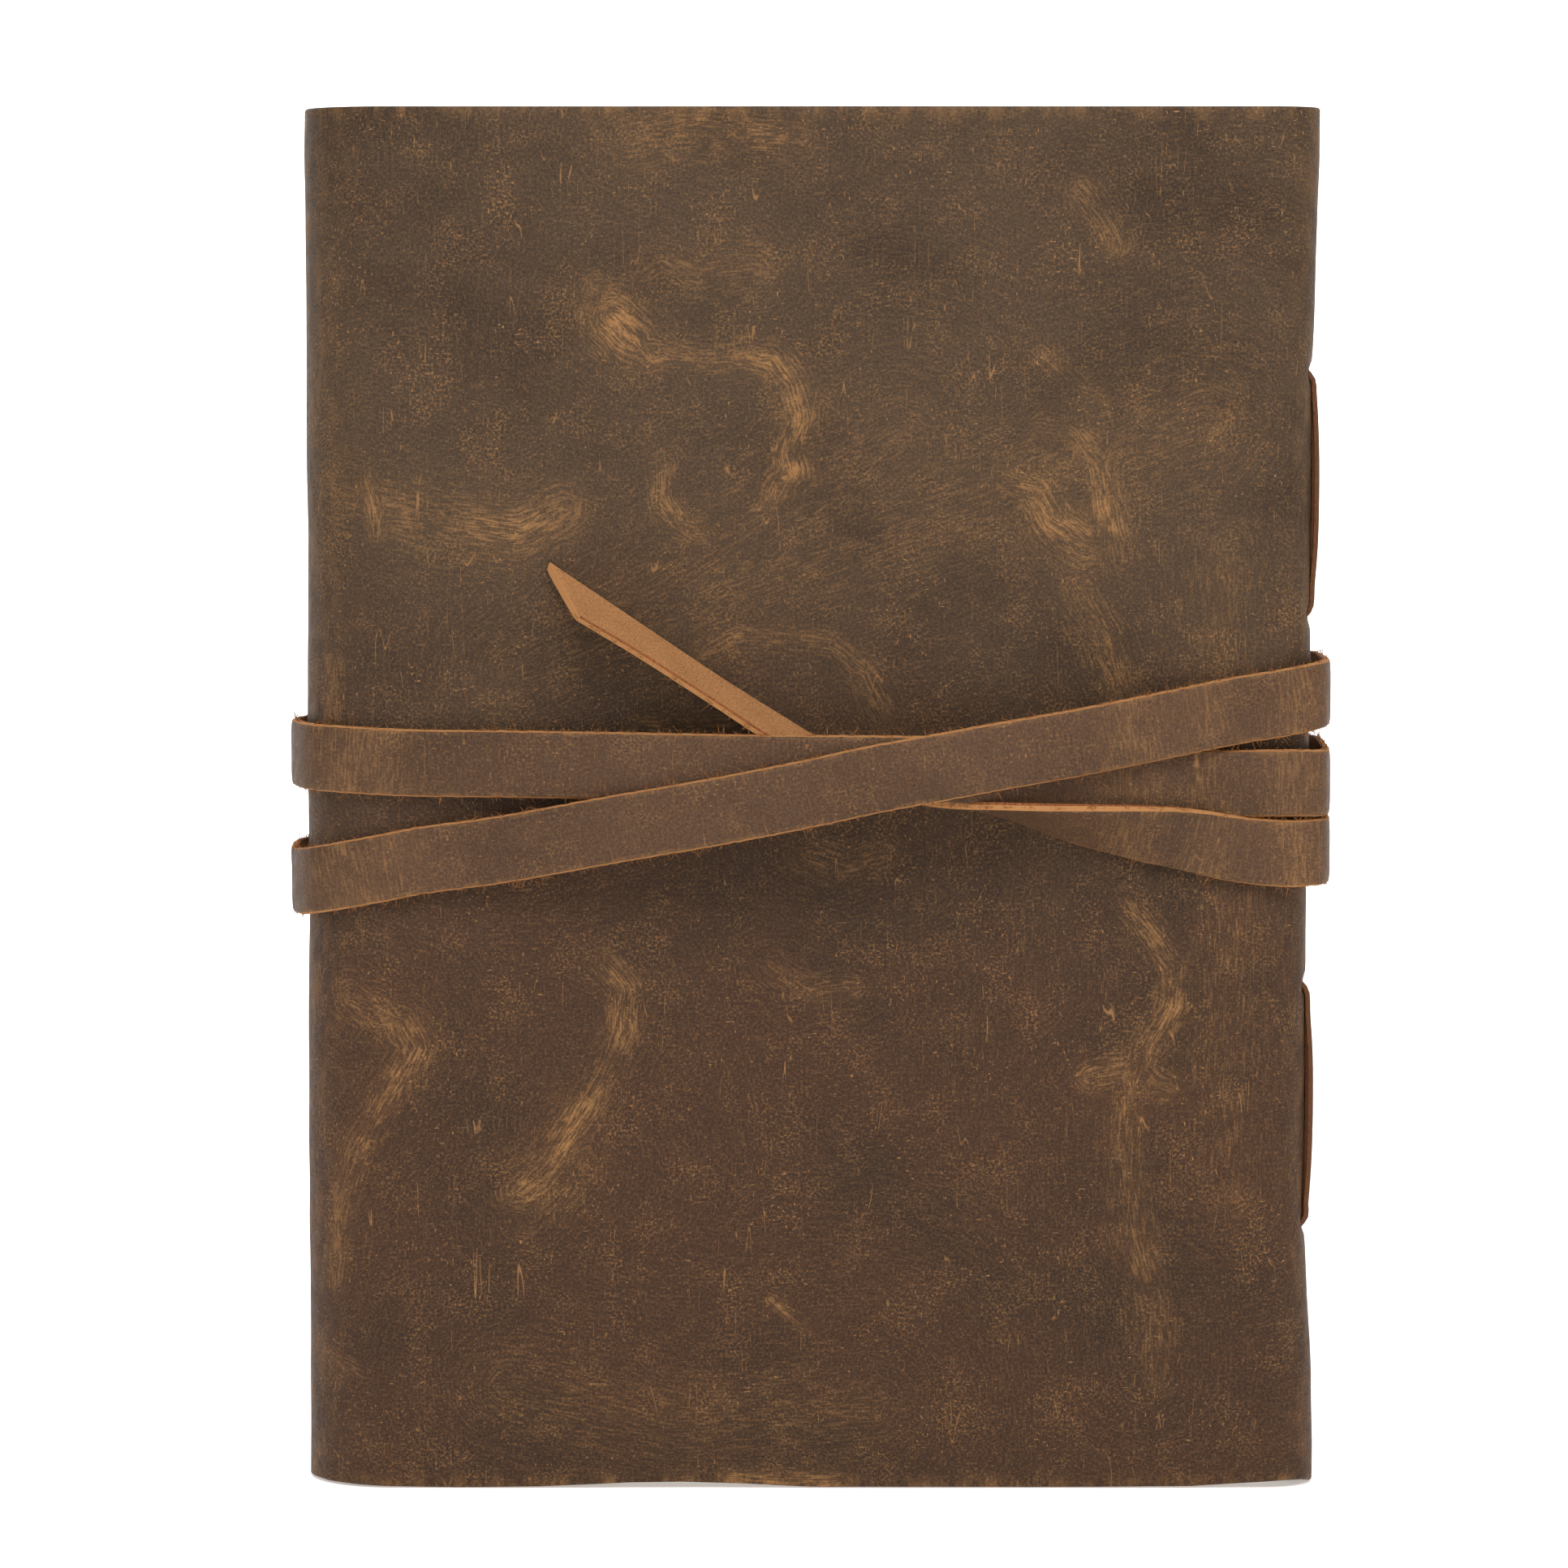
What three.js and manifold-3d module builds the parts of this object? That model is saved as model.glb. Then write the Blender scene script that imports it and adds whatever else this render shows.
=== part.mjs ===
// Leather notebook cover: one hide wrapped round six sewn signatures, laced at the spine and
// closed by a strap wound round it. Millimetres. X points to the spine, Y from the back cover to
// the front, Z up. The origin is at the middle of the underside.
import * as THREE from "three";
import { mergeVertices } from "three/addons/utils/BufferGeometryUtils.js";
import Module from "manifold-3d";

const wasm = await Module();
wasm.setup();

// Driving sizes
const COVER_HEIGHT = 216;
const LEATHER = 1.6;
const GAP = 0.3;
const PAGE_WIDTH = 142.9;
const PAGE_MARGIN = 3;
const SIGNATURE_COUNT = 6;
const SIGNATURE_THICKNESS = 3.8;
const SPINE_INNER_RADIUS = 3.1;
const FORE_EDGE_INNER_RADIUS = 12;
const FORE_EDGE_ROOM = 1.4;
const LAID_PAGE_WIDTH = 142.9; // page width that places across the cover are given for
const REACH_SHARE = PAGE_WIDTH / LAID_PAGE_WIDTH;
const FLAP_REACH = 106 * REACH_SHARE;
const FLAP_CORNER = 12;
const LACE_THICKNESS = 1.2;
const LACE_WIDTH = 2.2;
const LACE_CROWDING = 3.2 / 4.1; // pitch of the laces over pitch of the signatures
const LACE_PITCH = (SIGNATURE_THICKNESS + GAP) * LACE_CROWDING;
const LACE_BOW = 0.5;
const LACE_HOLE_INNER = 29;
const LACE_HOLE_OUTER = 67;
const LACE_TAIL = 5;
const LACE_PLAY = 0.25;
const STRAP_WIDTH = 10.5;
const STRAP_THICKNESS = 1.4;
const STRAP_STEP = 3.5;
const STRAP_SLACK = 0.8;
const STRAP_SLANT = 8.7;
const STRAP_SLANT_LENGTH = 14;
const STRAP_ANCHOR_INSET = 22; // from the flap's edge to the strap's sewn end
const STRAP_EDGE_INSET = 6; // from the flap's edge to where the strap leaves it
const STRAP_START_HEIGHT = 0.6;
const STRAP_LEAVE_HEIGHT = 1;
const STRAP_STEP_DOWN = 14; // length over which the strap comes down from the flap
const STRAP_STEP_LIFT = 1.4;
const STRAP_SPINE_SWELL = 0.3;
const STRAP_FORE_SWELL = 0.4;
const EDGE_CLEARANCE = 0.25;
const THREAD = 0.8;
const THREAD_PLAY = 0.3;
const STITCH_LENGTH = 5;
const STITCH_OFFSET = 3;
const STITCH_HEIGHT = 0.7;

// Levels through the book, from the middle of the pages outwards
const PAGES_HALF = (SIGNATURE_COUNT * (SIGNATURE_THICKNESS + GAP) - GAP) / 2;
const COVER_INNER = PAGES_HALF + GAP;
const COVER_OUTER = COVER_INNER + LEATHER;
const FLAP_INNER = COVER_OUTER + GAP;
const FLAP_OUTER = FLAP_INNER + LEATHER;

// Places across the book, from the middle of the pages to the spine and the fore edge
const PAGES_SPINE_X = PAGE_WIDTH / 2;
const LACE_INNER_X = PAGES_SPINE_X + GAP + LACE_THICKNESS / 2;
const SPINE_INNER_X = LACE_INNER_X + LACE_THICKNESS / 2 + GAP;
const SPINE_OUTER_X = SPINE_INNER_X + LEATHER;
const LACE_OUTER_X = SPINE_OUTER_X + GAP + LACE_THICKNESS / 2;
const SPINE_ARC_X = SPINE_INNER_X - SPINE_INNER_RADIUS;
const FORE_ARC_X = -PAGE_WIDTH / 2 + FORE_EDGE_ROOM;
const FORE_ARC_BACK_Y = FORE_EDGE_INNER_RADIUS - COVER_INNER;
const FORE_ARC_FRONT_Y = FLAP_INNER - FORE_EDGE_INNER_RADIUS;
const FLAP_EDGE_X = FORE_ARC_X + FLAP_REACH;
const MIDDLE_Z = COVER_HEIGHT / 2;

const DARK_LEATHER = { color: "#52402f", roughness: 0.55 };
const WORN_LEATHER = { color: "#5e4734", roughness: 0.55 };
const STRAP_LEATHER = { color: "#6b4f37", roughness: 0.6 };
const PAPER = { color: "#e9dfc6", roughness: 0.9 };
const WAXED_THREAD = { color: "#c9b088", roughness: 0.7 };

const part = new THREE.Group();
part.name = "leather_notebook_cover";

function add(name, geometry, look) {
  const material = new THREE.MeshStandardMaterial({ ...look, metalness: 0 });
  const mesh = new THREE.Mesh(geometry, material);
  mesh.name = name;
  part.add(mesh);
  return mesh;
}

// A closed solid between two heights, with its outline in the XY plane.
function upright(shape, bottom, top, curveSegments = 8) {
  const settings = { depth: top - bottom, bevelEnabled: false, curveSegments };
  return new THREE.ExtrudeGeometry(shape, settings).translate(0, 0, bottom);
}

// A closed solid with its outline in the XZ plane, from one Y level to another.
function crosswise(shape, from, to) {
  const settings = { depth: to - from, bevelEnabled: false, curveSegments: 6 };
  const geometry = new THREE.ExtrudeGeometry(shape, settings);
  return geometry.rotateX(Math.PI / 2).translate(0, to, 0);
}

function block(x0, x1, y0, y1, z0, z1) {
  const box = new THREE.BoxGeometry(x1 - x0, y1 - y0, z1 - z0);
  return box.translate((x0 + x1) / 2, (y0 + y1) / 2, (z0 + z1) / 2);
}

function toSolid(geometry) {
  const plain = geometry.clone();
  plain.deleteAttribute("normal");
  plain.deleteAttribute("uv");
  const merged = mergeVertices(plain, 1e-4);
  const mesh = new wasm.Mesh({
    numProp: 3,
    vertProperties: new Float32Array(merged.getAttribute("position").array),
    triVerts: new Uint32Array(merged.index.array),
  });
  return new wasm.Manifold(mesh);
}

function cut(geometry, cutters) {
  let solid = toSolid(geometry);
  for (const cutter of cutters) {
    solid = solid.subtract(toSolid(cutter));
  }
  const mesh = solid.getMesh();
  const result = new THREE.BufferGeometry();
  const positions = new THREE.BufferAttribute(mesh.vertProperties, 3);
  result.setAttribute("position", positions);
  result.setIndex(new THREE.BufferAttribute(mesh.triVerts, 1));
  const flat = result.toNonIndexed();
  flat.computeVertexNormals();
  return flat;
}

// Back cover: the flat back panel of the hide.
const backCover = block(
  FORE_ARC_X + GAP,
  SPINE_ARC_X - GAP,
  -COVER_OUTER,
  -COVER_INNER,
  0,
  COVER_HEIGHT,
);
add("back_cover", backCover, WORN_LEATHER);

// Spine panel: the hide round the spine, with a column of slits for each pair of lace holes.
const SPINE_ARC_Y = COVER_INNER - SPINE_INNER_RADIUS;
const SPINE_OUTER_RADIUS = SPINE_INNER_RADIUS + LEATHER;
const QUARTER = Math.PI / 2;

function spineShape() {
  const shape = new THREE.Shape();
  shape.moveTo(SPINE_ARC_X, -COVER_OUTER);
  shape.absarc(SPINE_ARC_X, -SPINE_ARC_Y, SPINE_OUTER_RADIUS, -QUARTER, 0, false);
  shape.absarc(SPINE_ARC_X, SPINE_ARC_Y, SPINE_OUTER_RADIUS, 0, QUARTER, false);
  shape.lineTo(SPINE_ARC_X, COVER_INNER);
  shape.absarc(SPINE_ARC_X, SPINE_ARC_Y, SPINE_INNER_RADIUS, QUARTER, 0, true);
  shape.absarc(SPINE_ARC_X, -SPINE_ARC_Y, SPINE_INNER_RADIUS, 0, -QUARTER, true);
  shape.closePath();
  return shape;
}

const laceRows = [];
for (let i = 0; i < SIGNATURE_COUNT; i += 1) {
  laceRows.push((i - (SIGNATURE_COUNT - 1) / 2) * LACE_PITCH);
}
const laceHoleHeights = [
  MIDDLE_Z - LACE_HOLE_OUTER,
  MIDDLE_Z - LACE_HOLE_INNER,
  MIDDLE_Z + LACE_HOLE_INNER,
  MIDDLE_Z + LACE_HOLE_OUTER,
];
const laceHoles = [];
for (const y of laceRows) {
  for (const z of laceHoleHeights) {
    const halfWide = LACE_WIDTH / 2 + LACE_PLAY;
    const halfHigh = LACE_THICKNESS / 2 + LACE_PLAY;
    laceHoles.push(
      block(
        SPINE_INNER_X - LEATHER,
        SPINE_OUTER_X + LEATHER,
        y - halfWide,
        y + halfWide,
        z - halfHigh,
        z + halfHigh,
      ),
    );
  }
}
const spinePanel = cut(upright(spineShape(), 0, COVER_HEIGHT), laceHoles);
add("spine_panel", spinePanel, WORN_LEATHER);

// Front cover: the flat front panel, which swings about the front crease of the spine.
const FRONT_EDGE_X = FORE_ARC_X - LACE_THICKNESS;
const frontCover = block(
  FRONT_EDGE_X,
  SPINE_ARC_X - GAP,
  COVER_INNER,
  COVER_OUTER,
  0,
  COVER_HEIGHT,
);
add("front_cover", frontCover, DARK_LEATHER);

// Fore-edge turn: the hide where it rolls round the fore edge to the front.
function foreEdgeShape() {
  const outer = FORE_EDGE_INNER_RADIUS + LEATHER;
  const inner = FORE_EDGE_INNER_RADIUS;
  const shape = new THREE.Shape();
  shape.moveTo(FORE_ARC_X, FLAP_OUTER);
  shape.absarc(FORE_ARC_X, FORE_ARC_FRONT_Y, outer, QUARTER, 2 * QUARTER, false);
  shape.absarc(FORE_ARC_X, FORE_ARC_BACK_Y, outer, 2 * QUARTER, 3 * QUARTER, false);
  shape.lineTo(FORE_ARC_X, -COVER_INNER);
  shape.absarc(FORE_ARC_X, FORE_ARC_BACK_Y, inner, 3 * QUARTER, 2 * QUARTER, true);
  shape.absarc(FORE_ARC_X, FORE_ARC_FRONT_Y, inner, 2 * QUARTER, QUARTER, true);
  shape.closePath();
  return shape;
}
const foreEdgeTurn = upright(foreEdgeShape(), 0, COVER_HEIGHT, 10);
add("fore_edge_turn", foreEdgeTurn, WORN_LEATHER);

// Signatures: folded sheets, round at the fold that faces the spine.
for (let i = 0; i < SIGNATURE_COUNT; i += 1) {
  const y0 = -PAGES_HALF + i * (SIGNATURE_THICKNESS + GAP);
  const y1 = y0 + SIGNATURE_THICKNESS;
  const fold = SIGNATURE_THICKNESS / 2;
  const shape = new THREE.Shape();
  shape.moveTo(-PAGES_SPINE_X, y1);
  shape.lineTo(-PAGES_SPINE_X, y0);
  shape.lineTo(PAGES_SPINE_X - fold, y0);
  shape.absarc(PAGES_SPINE_X - fold, y0 + fold, fold, -QUARTER, QUARTER, false);
  shape.closePath();
  const pages = upright(shape, PAGE_MARGIN, COVER_HEIGHT - PAGE_MARGIN, 5);
  add(`signature_${i + 1}`, pages, PAPER);
}

// Laces: each runs up the inside of the spine, out and in again as two long stitches.
function bandShape(points, thickness) {
  const left = [];
  const right = [];
  for (let i = 0; i < points.length; i += 1) {
    const before = points[Math.max(i - 1, 0)];
    const after = points[Math.min(i + 1, points.length - 1)];
    const into = points[i].clone().sub(before).normalize();
    const away = after.clone().sub(points[i]).normalize();
    const first = i === 0 ? away : into;
    const second = i === points.length - 1 ? into : away;
    const tangent = first.clone().add(second).normalize();
    const mitre = new THREE.Vector2(-tangent.y, tangent.x);
    const normal = new THREE.Vector2(-first.y, first.x);
    mitre.multiplyScalar(thickness / 2 / mitre.dot(normal));
    left.push(points[i].clone().add(mitre));
    right.unshift(points[i].clone().sub(mitre));
  }
  return new THREE.Shape([...left, ...right]);
}

function stitchPoints(fromZ, toZ) {
  const points = [];
  const steps = 6;
  for (let i = 0; i <= steps; i += 1) {
    const bow = LACE_BOW * Math.sin((Math.PI * i) / steps);
    const z = THREE.MathUtils.lerp(fromZ, toZ, i / steps);
    points.push(new THREE.Vector2(LACE_OUTER_X + bow, z));
  }
  return points;
}

const [holeA, holeB, holeC, holeD] = laceHoleHeights;
const laceCentre = [
  new THREE.Vector2(LACE_INNER_X, holeA - LACE_TAIL),
  new THREE.Vector2(LACE_INNER_X, holeA),
  ...stitchPoints(holeA, holeB),
  new THREE.Vector2(LACE_INNER_X, holeB),
  new THREE.Vector2(LACE_INNER_X, holeC),
  ...stitchPoints(holeC, holeD),
  new THREE.Vector2(LACE_INNER_X, holeD),
  new THREE.Vector2(LACE_INNER_X, holeD + LACE_TAIL),
];
laceRows.forEach((y, i) => {
  const outline = bandShape(laceCentre, LACE_THICKNESS);
  const lace = crosswise(outline, y - LACE_WIDTH / 2, y + LACE_WIDTH / 2);
  add(`lace_${i + 1}`, lace, STRAP_LEATHER);
});

// Flap: from the fore-edge turn over the front cover, with rounded free corners.
function flapShape() {
  const left = FORE_ARC_X + GAP;
  const shape = new THREE.Shape();
  shape.moveTo(left, 0);
  shape.lineTo(FLAP_EDGE_X - FLAP_CORNER, 0);
  shape.absarc(FLAP_EDGE_X - FLAP_CORNER, FLAP_CORNER, FLAP_CORNER, -QUARTER, 0, false);
  const topCorner = COVER_HEIGHT - FLAP_CORNER;
  shape.absarc(FLAP_EDGE_X - FLAP_CORNER, topCorner, FLAP_CORNER, 0, QUARTER, false);
  shape.lineTo(left, COVER_HEIGHT);
  shape.closePath();
  return shape;
}

// Strap route: from its sewn end on the flap, round the spine, across the back, round the fore
// edge and so on. Each point has its place across the cover, its lift off the leather, its height
// above the middle, and its twist, which turns the upper edge outwards.
const STRAP_FLAT = GAP + STRAP_THICKNESS / 2;
const EDGE_LIFT = STRAP_FLAT + STRAP_SLACK;
const FORE_OUTER_X = FORE_ARC_X - FORE_EDGE_INNER_RADIUS - LEATHER;
const COVER_MIDDLE_X = (SPINE_OUTER_X + FORE_OUTER_X) / 2;
const ANCHOR_X = FLAP_EDGE_X - STRAP_ANCHOR_INSET;

function onBack(across, lift, height, twist = 0) {
  const x = COVER_MIDDLE_X + across * REACH_SHARE;
  return { x, y: -COVER_OUTER - lift, height, twist };
}

function onFlap(across, height) {
  const x = COVER_MIDDLE_X + across * REACH_SHARE;
  return { x, y: FLAP_OUTER + STRAP_FLAT, height, twist: 0 };
}

// The tucked end stands on its inner edge, so its twist sets its lift.
function onEdge(across, height, twist) {
  const angle = THREE.MathUtils.degToRad(twist);
  const reach = (Math.abs(Math.sin(angle)) * STRAP_WIDTH) / 2;
  const lift = GAP + reach + (Math.abs(Math.cos(angle)) * STRAP_THICKNESS) / 2;
  return onBack(across, lift + EDGE_CLEARANCE, height, twist);
}

function aroundSpine(before, after) {
  const radius = SPINE_OUTER_RADIUS + EDGE_LIFT;
  const diagonal = (radius + STRAP_SPINE_SWELL) * Math.SQRT1_2;
  const height = (before + after) / 2;
  const x = SPINE_ARC_X;
  const flat = COVER_OUTER + STRAP_FLAT;
  return [
    { x: x - STRAP_STEP_DOWN, y: flat + STRAP_STEP_LIFT, height: before, twist: 0 },
    { x, y: SPINE_ARC_Y + radius, height: before, twist: 0 },
    { x: x + diagonal, y: SPINE_ARC_Y + diagonal, height: before, twist: 0 },
    { x: x + radius, y: SPINE_ARC_Y, height, twist: 0 },
    { x: x + radius, y: -SPINE_ARC_Y, height, twist: 0 },
    { x: x + diagonal, y: -SPINE_ARC_Y - diagonal, height: after, twist: 0 },
    { x, y: -SPINE_ARC_Y - radius, height: after, twist: 0 },
  ];
}

function aroundForeEdge(before, after) {
  const radius = FORE_EDGE_INNER_RADIUS + LEATHER + EDGE_LIFT;
  const diagonal = (radius + STRAP_FORE_SWELL) * Math.SQRT1_2;
  const height = (before + after) / 2;
  const x = FORE_ARC_X;
  return [
    { x, y: -COVER_OUTER - STRAP_FLAT - STRAP_FORE_SWELL, height: before, twist: 0 },
    { x: x - diagonal, y: FORE_ARC_BACK_Y - diagonal, height: before, twist: 0 },
    { x: x - radius, y: FORE_ARC_BACK_Y, height, twist: 0 },
    { x: x - radius, y: FORE_ARC_FRONT_Y, height, twist: 0 },
    { x: x - diagonal, y: FORE_ARC_FRONT_Y + diagonal, height: after, twist: 0 },
    { x, y: FLAP_OUTER + STRAP_FLAT + STRAP_FORE_SWELL, height: after, twist: 0 },
  ];
}

const strapRoute = [
  { x: ANCHOR_X, y: FLAP_OUTER + STRAP_FLAT, height: STRAP_START_HEIGHT, twist: 0 },
  { x: FLAP_EDGE_X - STRAP_EDGE_INSET, y: FLAP_OUTER + STRAP_FLAT, height: STRAP_LEAVE_HEIGHT, twist: 0 },
  ...aroundSpine(1.7, 1.9),
  onBack(62, 2.6, 2.4),
  onBack(44, 8.2, 3.2),
  onBack(25, 12.1, 3.8),
  onBack(-4, 12.1, 4.3),
  onBack(-27, 7.6, 4.7),
  onBack(-52, 2.2, 5.2),
  ...aroundForeEdge(5.8, 6.2),
  onFlap(-20, 9.2),
  onFlap(30, 12.2),
  ...aroundSpine(15.2, 15.6),
  onBack(62, 4.6, 12.4),
  onBack(44, 10.4, 8.9),
  onBack(25, 14.3, 5.2),
  onBack(-4, 14.3, -0.5),
  onBack(-27, 9.8, -4.7),
  onBack(-52, 3.2, -9.1),
  ...aroundForeEdge(-12.2, -12.4),
  onFlap(-20, -11.4),
  onFlap(30, -10.2),
  ...aroundSpine(-9.6, -9.4),
  onEdge(58.9, -7.4, 22),
  onEdge(49.7, -6.6, 41),
  onEdge(42.9, -5.9, 56),
  onEdge(36.1, -5.0, 72),
  onEdge(30.1, -3.7, 84),
  onEdge(20.2, -0.6, 92),
  onEdge(10.5, 4.0, 98),
  onEdge(0.7, 8.8, 104),
  onEdge(-14, 16.8, 114),
  onEdge(-23.7, 22.7, 116),
  onEdge(-38.4, 32.2, 116),
];

// A flat band with a rectangular section, swept along a route with its own twist at each point.
function strapGeometry(route) {
  const centres = route.map((p) => new THREE.Vector3(p.x, p.y, MIDDLE_Z + p.height));
  const path = new THREE.CatmullRomCurve3(centres, false, "centripetal");
  const count = Math.round(path.getLength() / STRAP_STEP);
  const band = new THREE.BoxGeometry(1, STRAP_THICKNESS, STRAP_WIDTH, count, 1, 1);
  const position = band.getAttribute("position");
  const frames = [];
  for (let i = 0; i <= count; i += 1) {
    const t = path.getUtoTmapping(i / count);
    const along = path.getTangent(t);
    const place = t * (route.length - 1);
    const k = Math.min(Math.floor(place), route.length - 2);
    const blend = THREE.MathUtils.smoothstep(place - k, 0, 1);
    const twist = THREE.MathUtils.lerp(route[k].twist, route[k + 1].twist, blend);
    const outwards = new THREE.Vector3(0, 0, 1).cross(along).normalize();
    const across = along.clone().cross(outwards).normalize();
    outwards.applyAxisAngle(along, -THREE.MathUtils.degToRad(twist));
    across.applyAxisAngle(along, -THREE.MathUtils.degToRad(twist));
    const toEnd = (1 - i / count) * path.getLength();
    const slant = STRAP_SLANT * Math.max(0, 1 - toEnd / STRAP_SLANT_LENGTH);
    frames.push({ centre: path.getPoint(t), along, outwards, across, slant });
  }
  const corner = new THREE.Vector3();
  for (let i = 0; i < position.count; i += 1) {
    const station = Math.round((position.getX(i) + 0.5) * count);
    const { centre, along, outwards, across, slant } = frames[station];
    corner.copy(centre);
    corner.addScaledVector(along, (-slant * position.getZ(i)) / STRAP_WIDTH);
    corner.addScaledVector(outwards, position.getY(i));
    corner.addScaledVector(across, position.getZ(i));
    position.setXYZ(i, corner.x, corner.y, corner.z);
  }
  return band;
}

// The thread goes through strap and flap, and lies in a groove on the flap's inner side.
const stitchHeights = [-STITCH_OFFSET, STITCH_OFFSET].map((v) => MIDDLE_Z + STITCH_HEIGHT + v);
const STITCH_X0 = ANCHOR_X + 3;
const STITCH_X1 = STITCH_X0 + STITCH_LENGTH;
const STITCH_INNER_Y = FLAP_INNER + THREAD / 2;
const STITCH_OUTER_Y = FLAP_OUTER + GAP + STRAP_THICKNESS + GAP + THREAD / 2;
const threadHoles = [];
const threadGrooves = [];
for (const z of stitchHeights) {
  const half = THREAD / 2 + THREAD_PLAY;
  for (const x of [STITCH_X0, STITCH_X1]) {
    const out = STITCH_OUTER_Y + LEATHER;
    threadHoles.push(block(x - half, x + half, COVER_OUTER, out, z - half, z + half));
  }
  const deep = FLAP_INNER + THREAD + THREAD_PLAY;
  threadGrooves.push(
    block(STITCH_X0 - half, STITCH_X1 + half, COVER_OUTER, deep, z - half, z + half),
  );
}

const flapSheet = crosswise(flapShape(), FLAP_INNER, FLAP_OUTER);
add("flap", cut(flapSheet, [...threadHoles, ...threadGrooves]), DARK_LEATHER);
add("wrap_strap", cut(strapGeometry(strapRoute), threadHoles), STRAP_LEATHER);

stitchHeights.forEach((z, i) => {
  const half = THREAD / 2;
  const outer = new THREE.Shape();
  outer.moveTo(STITCH_X0 - half, STITCH_INNER_Y - half);
  outer.lineTo(STITCH_X1 + half, STITCH_INNER_Y - half);
  outer.lineTo(STITCH_X1 + half, STITCH_OUTER_Y + half);
  outer.lineTo(STITCH_X0 - half, STITCH_OUTER_Y + half);
  outer.closePath();
  const inner = new THREE.Path();
  inner.moveTo(STITCH_X0 + half, STITCH_INNER_Y + half);
  inner.lineTo(STITCH_X0 + half, STITCH_OUTER_Y - half);
  inner.lineTo(STITCH_X1 - half, STITCH_OUTER_Y - half);
  inner.lineTo(STITCH_X1 - half, STITCH_INNER_Y + half);
  inner.closePath();
  outer.holes.push(inner);
  const loop = upright(outer, z - half, z + half);
  const name = i === 0 ? "anchor_stitch_lower" : "anchor_stitch_upper";
  add(name, loop, WAXED_THREAD);
});

// The origin goes to the middle of the underside.
const bounds = new THREE.Box3().setFromObject(part);
const middle = bounds.getCenter(new THREE.Vector3());
for (const mesh of part.children) {
  mesh.geometry.translate(-middle.x, -middle.y, -bounds.min.z);
}

export default part;
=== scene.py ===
import math
import bpy
import numpy as np
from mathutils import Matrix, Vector, noise


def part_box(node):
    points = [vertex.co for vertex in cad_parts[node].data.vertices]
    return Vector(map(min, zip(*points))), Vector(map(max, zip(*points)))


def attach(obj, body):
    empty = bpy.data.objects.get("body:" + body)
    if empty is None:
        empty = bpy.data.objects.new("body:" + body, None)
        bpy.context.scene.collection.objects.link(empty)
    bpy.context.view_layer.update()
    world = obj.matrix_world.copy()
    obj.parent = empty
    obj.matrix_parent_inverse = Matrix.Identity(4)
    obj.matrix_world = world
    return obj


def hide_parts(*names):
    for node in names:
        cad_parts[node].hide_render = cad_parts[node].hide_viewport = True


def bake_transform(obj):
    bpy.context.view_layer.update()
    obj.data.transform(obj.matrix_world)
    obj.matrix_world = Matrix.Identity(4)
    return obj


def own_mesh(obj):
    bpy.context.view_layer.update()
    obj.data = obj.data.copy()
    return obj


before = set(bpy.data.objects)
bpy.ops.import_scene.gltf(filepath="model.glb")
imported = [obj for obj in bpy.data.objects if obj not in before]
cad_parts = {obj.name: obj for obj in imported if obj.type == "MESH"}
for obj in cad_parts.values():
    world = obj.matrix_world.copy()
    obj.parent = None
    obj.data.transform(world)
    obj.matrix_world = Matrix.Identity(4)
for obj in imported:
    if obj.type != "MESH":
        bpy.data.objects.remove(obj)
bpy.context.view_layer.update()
MM = 0.001


# ---------------------------------------------------------------------------------------------
# Camera and studio. A long lens looks at the standing book's back, from a little above its
# middle. Soft light comes mostly from above, over a plain pale floor and backdrop.
# ---------------------------------------------------------------------------------------------
book_middle_x = (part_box("fore_edge_turn")[0][0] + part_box("spine_panel")[1][0]) / 2
back_face_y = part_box("back_cover")[0][1]
camera_height = 173.6 * MM
camera_distance = 972 * MM
camera_pitch = math.radians(3.695)

camera_data = bpy.data.cameras.new("studio_camera")
camera_data.sensor_width = 36
camera_data.lens = 143.45
camera_data.clip_start = 0.05
camera_data.clip_end = 20
camera = bpy.data.objects.new("studio_camera", camera_data)
camera.location = (book_middle_x - 3.85 * MM, back_face_y - camera_distance, camera_height)
camera.rotation_euler = (math.pi / 2 - camera_pitch, 0, 0)
bpy.context.collection.objects.link(camera)
bpy.context.scene.camera = camera


def mesh_object(name, vertices, faces):
    mesh = bpy.data.meshes.new(name)
    mesh.from_pydata([tuple(v) for v in vertices], [], [tuple(int(i) for i in f) for f in faces])
    mesh.validate()
    piece = bpy.data.objects.new(name, mesh)
    bpy.context.collection.objects.link(piece)
    return piece


def new_material(name):
    material = bpy.data.materials.new(name)
    material.use_nodes = True
    tree = material.node_tree
    shader = next(n for n in tree.nodes if n.type == "BSDF_PRINCIPLED")
    return material, tree, shader


def node(tree, kind, links=None, **settings):
    """A shader node with its settings, and its inputs set to a value or joined to a socket."""
    made = tree.nodes.new(kind)
    for key, value in settings.items():
        setattr(made, key, value)
    for key, value in (links or {}).items():
        socket = made.inputs[key]
        if isinstance(value, bpy.types.NodeSocket):
            tree.links.new(value, socket)
        else:
            socket.default_value = value
    return made


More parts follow.
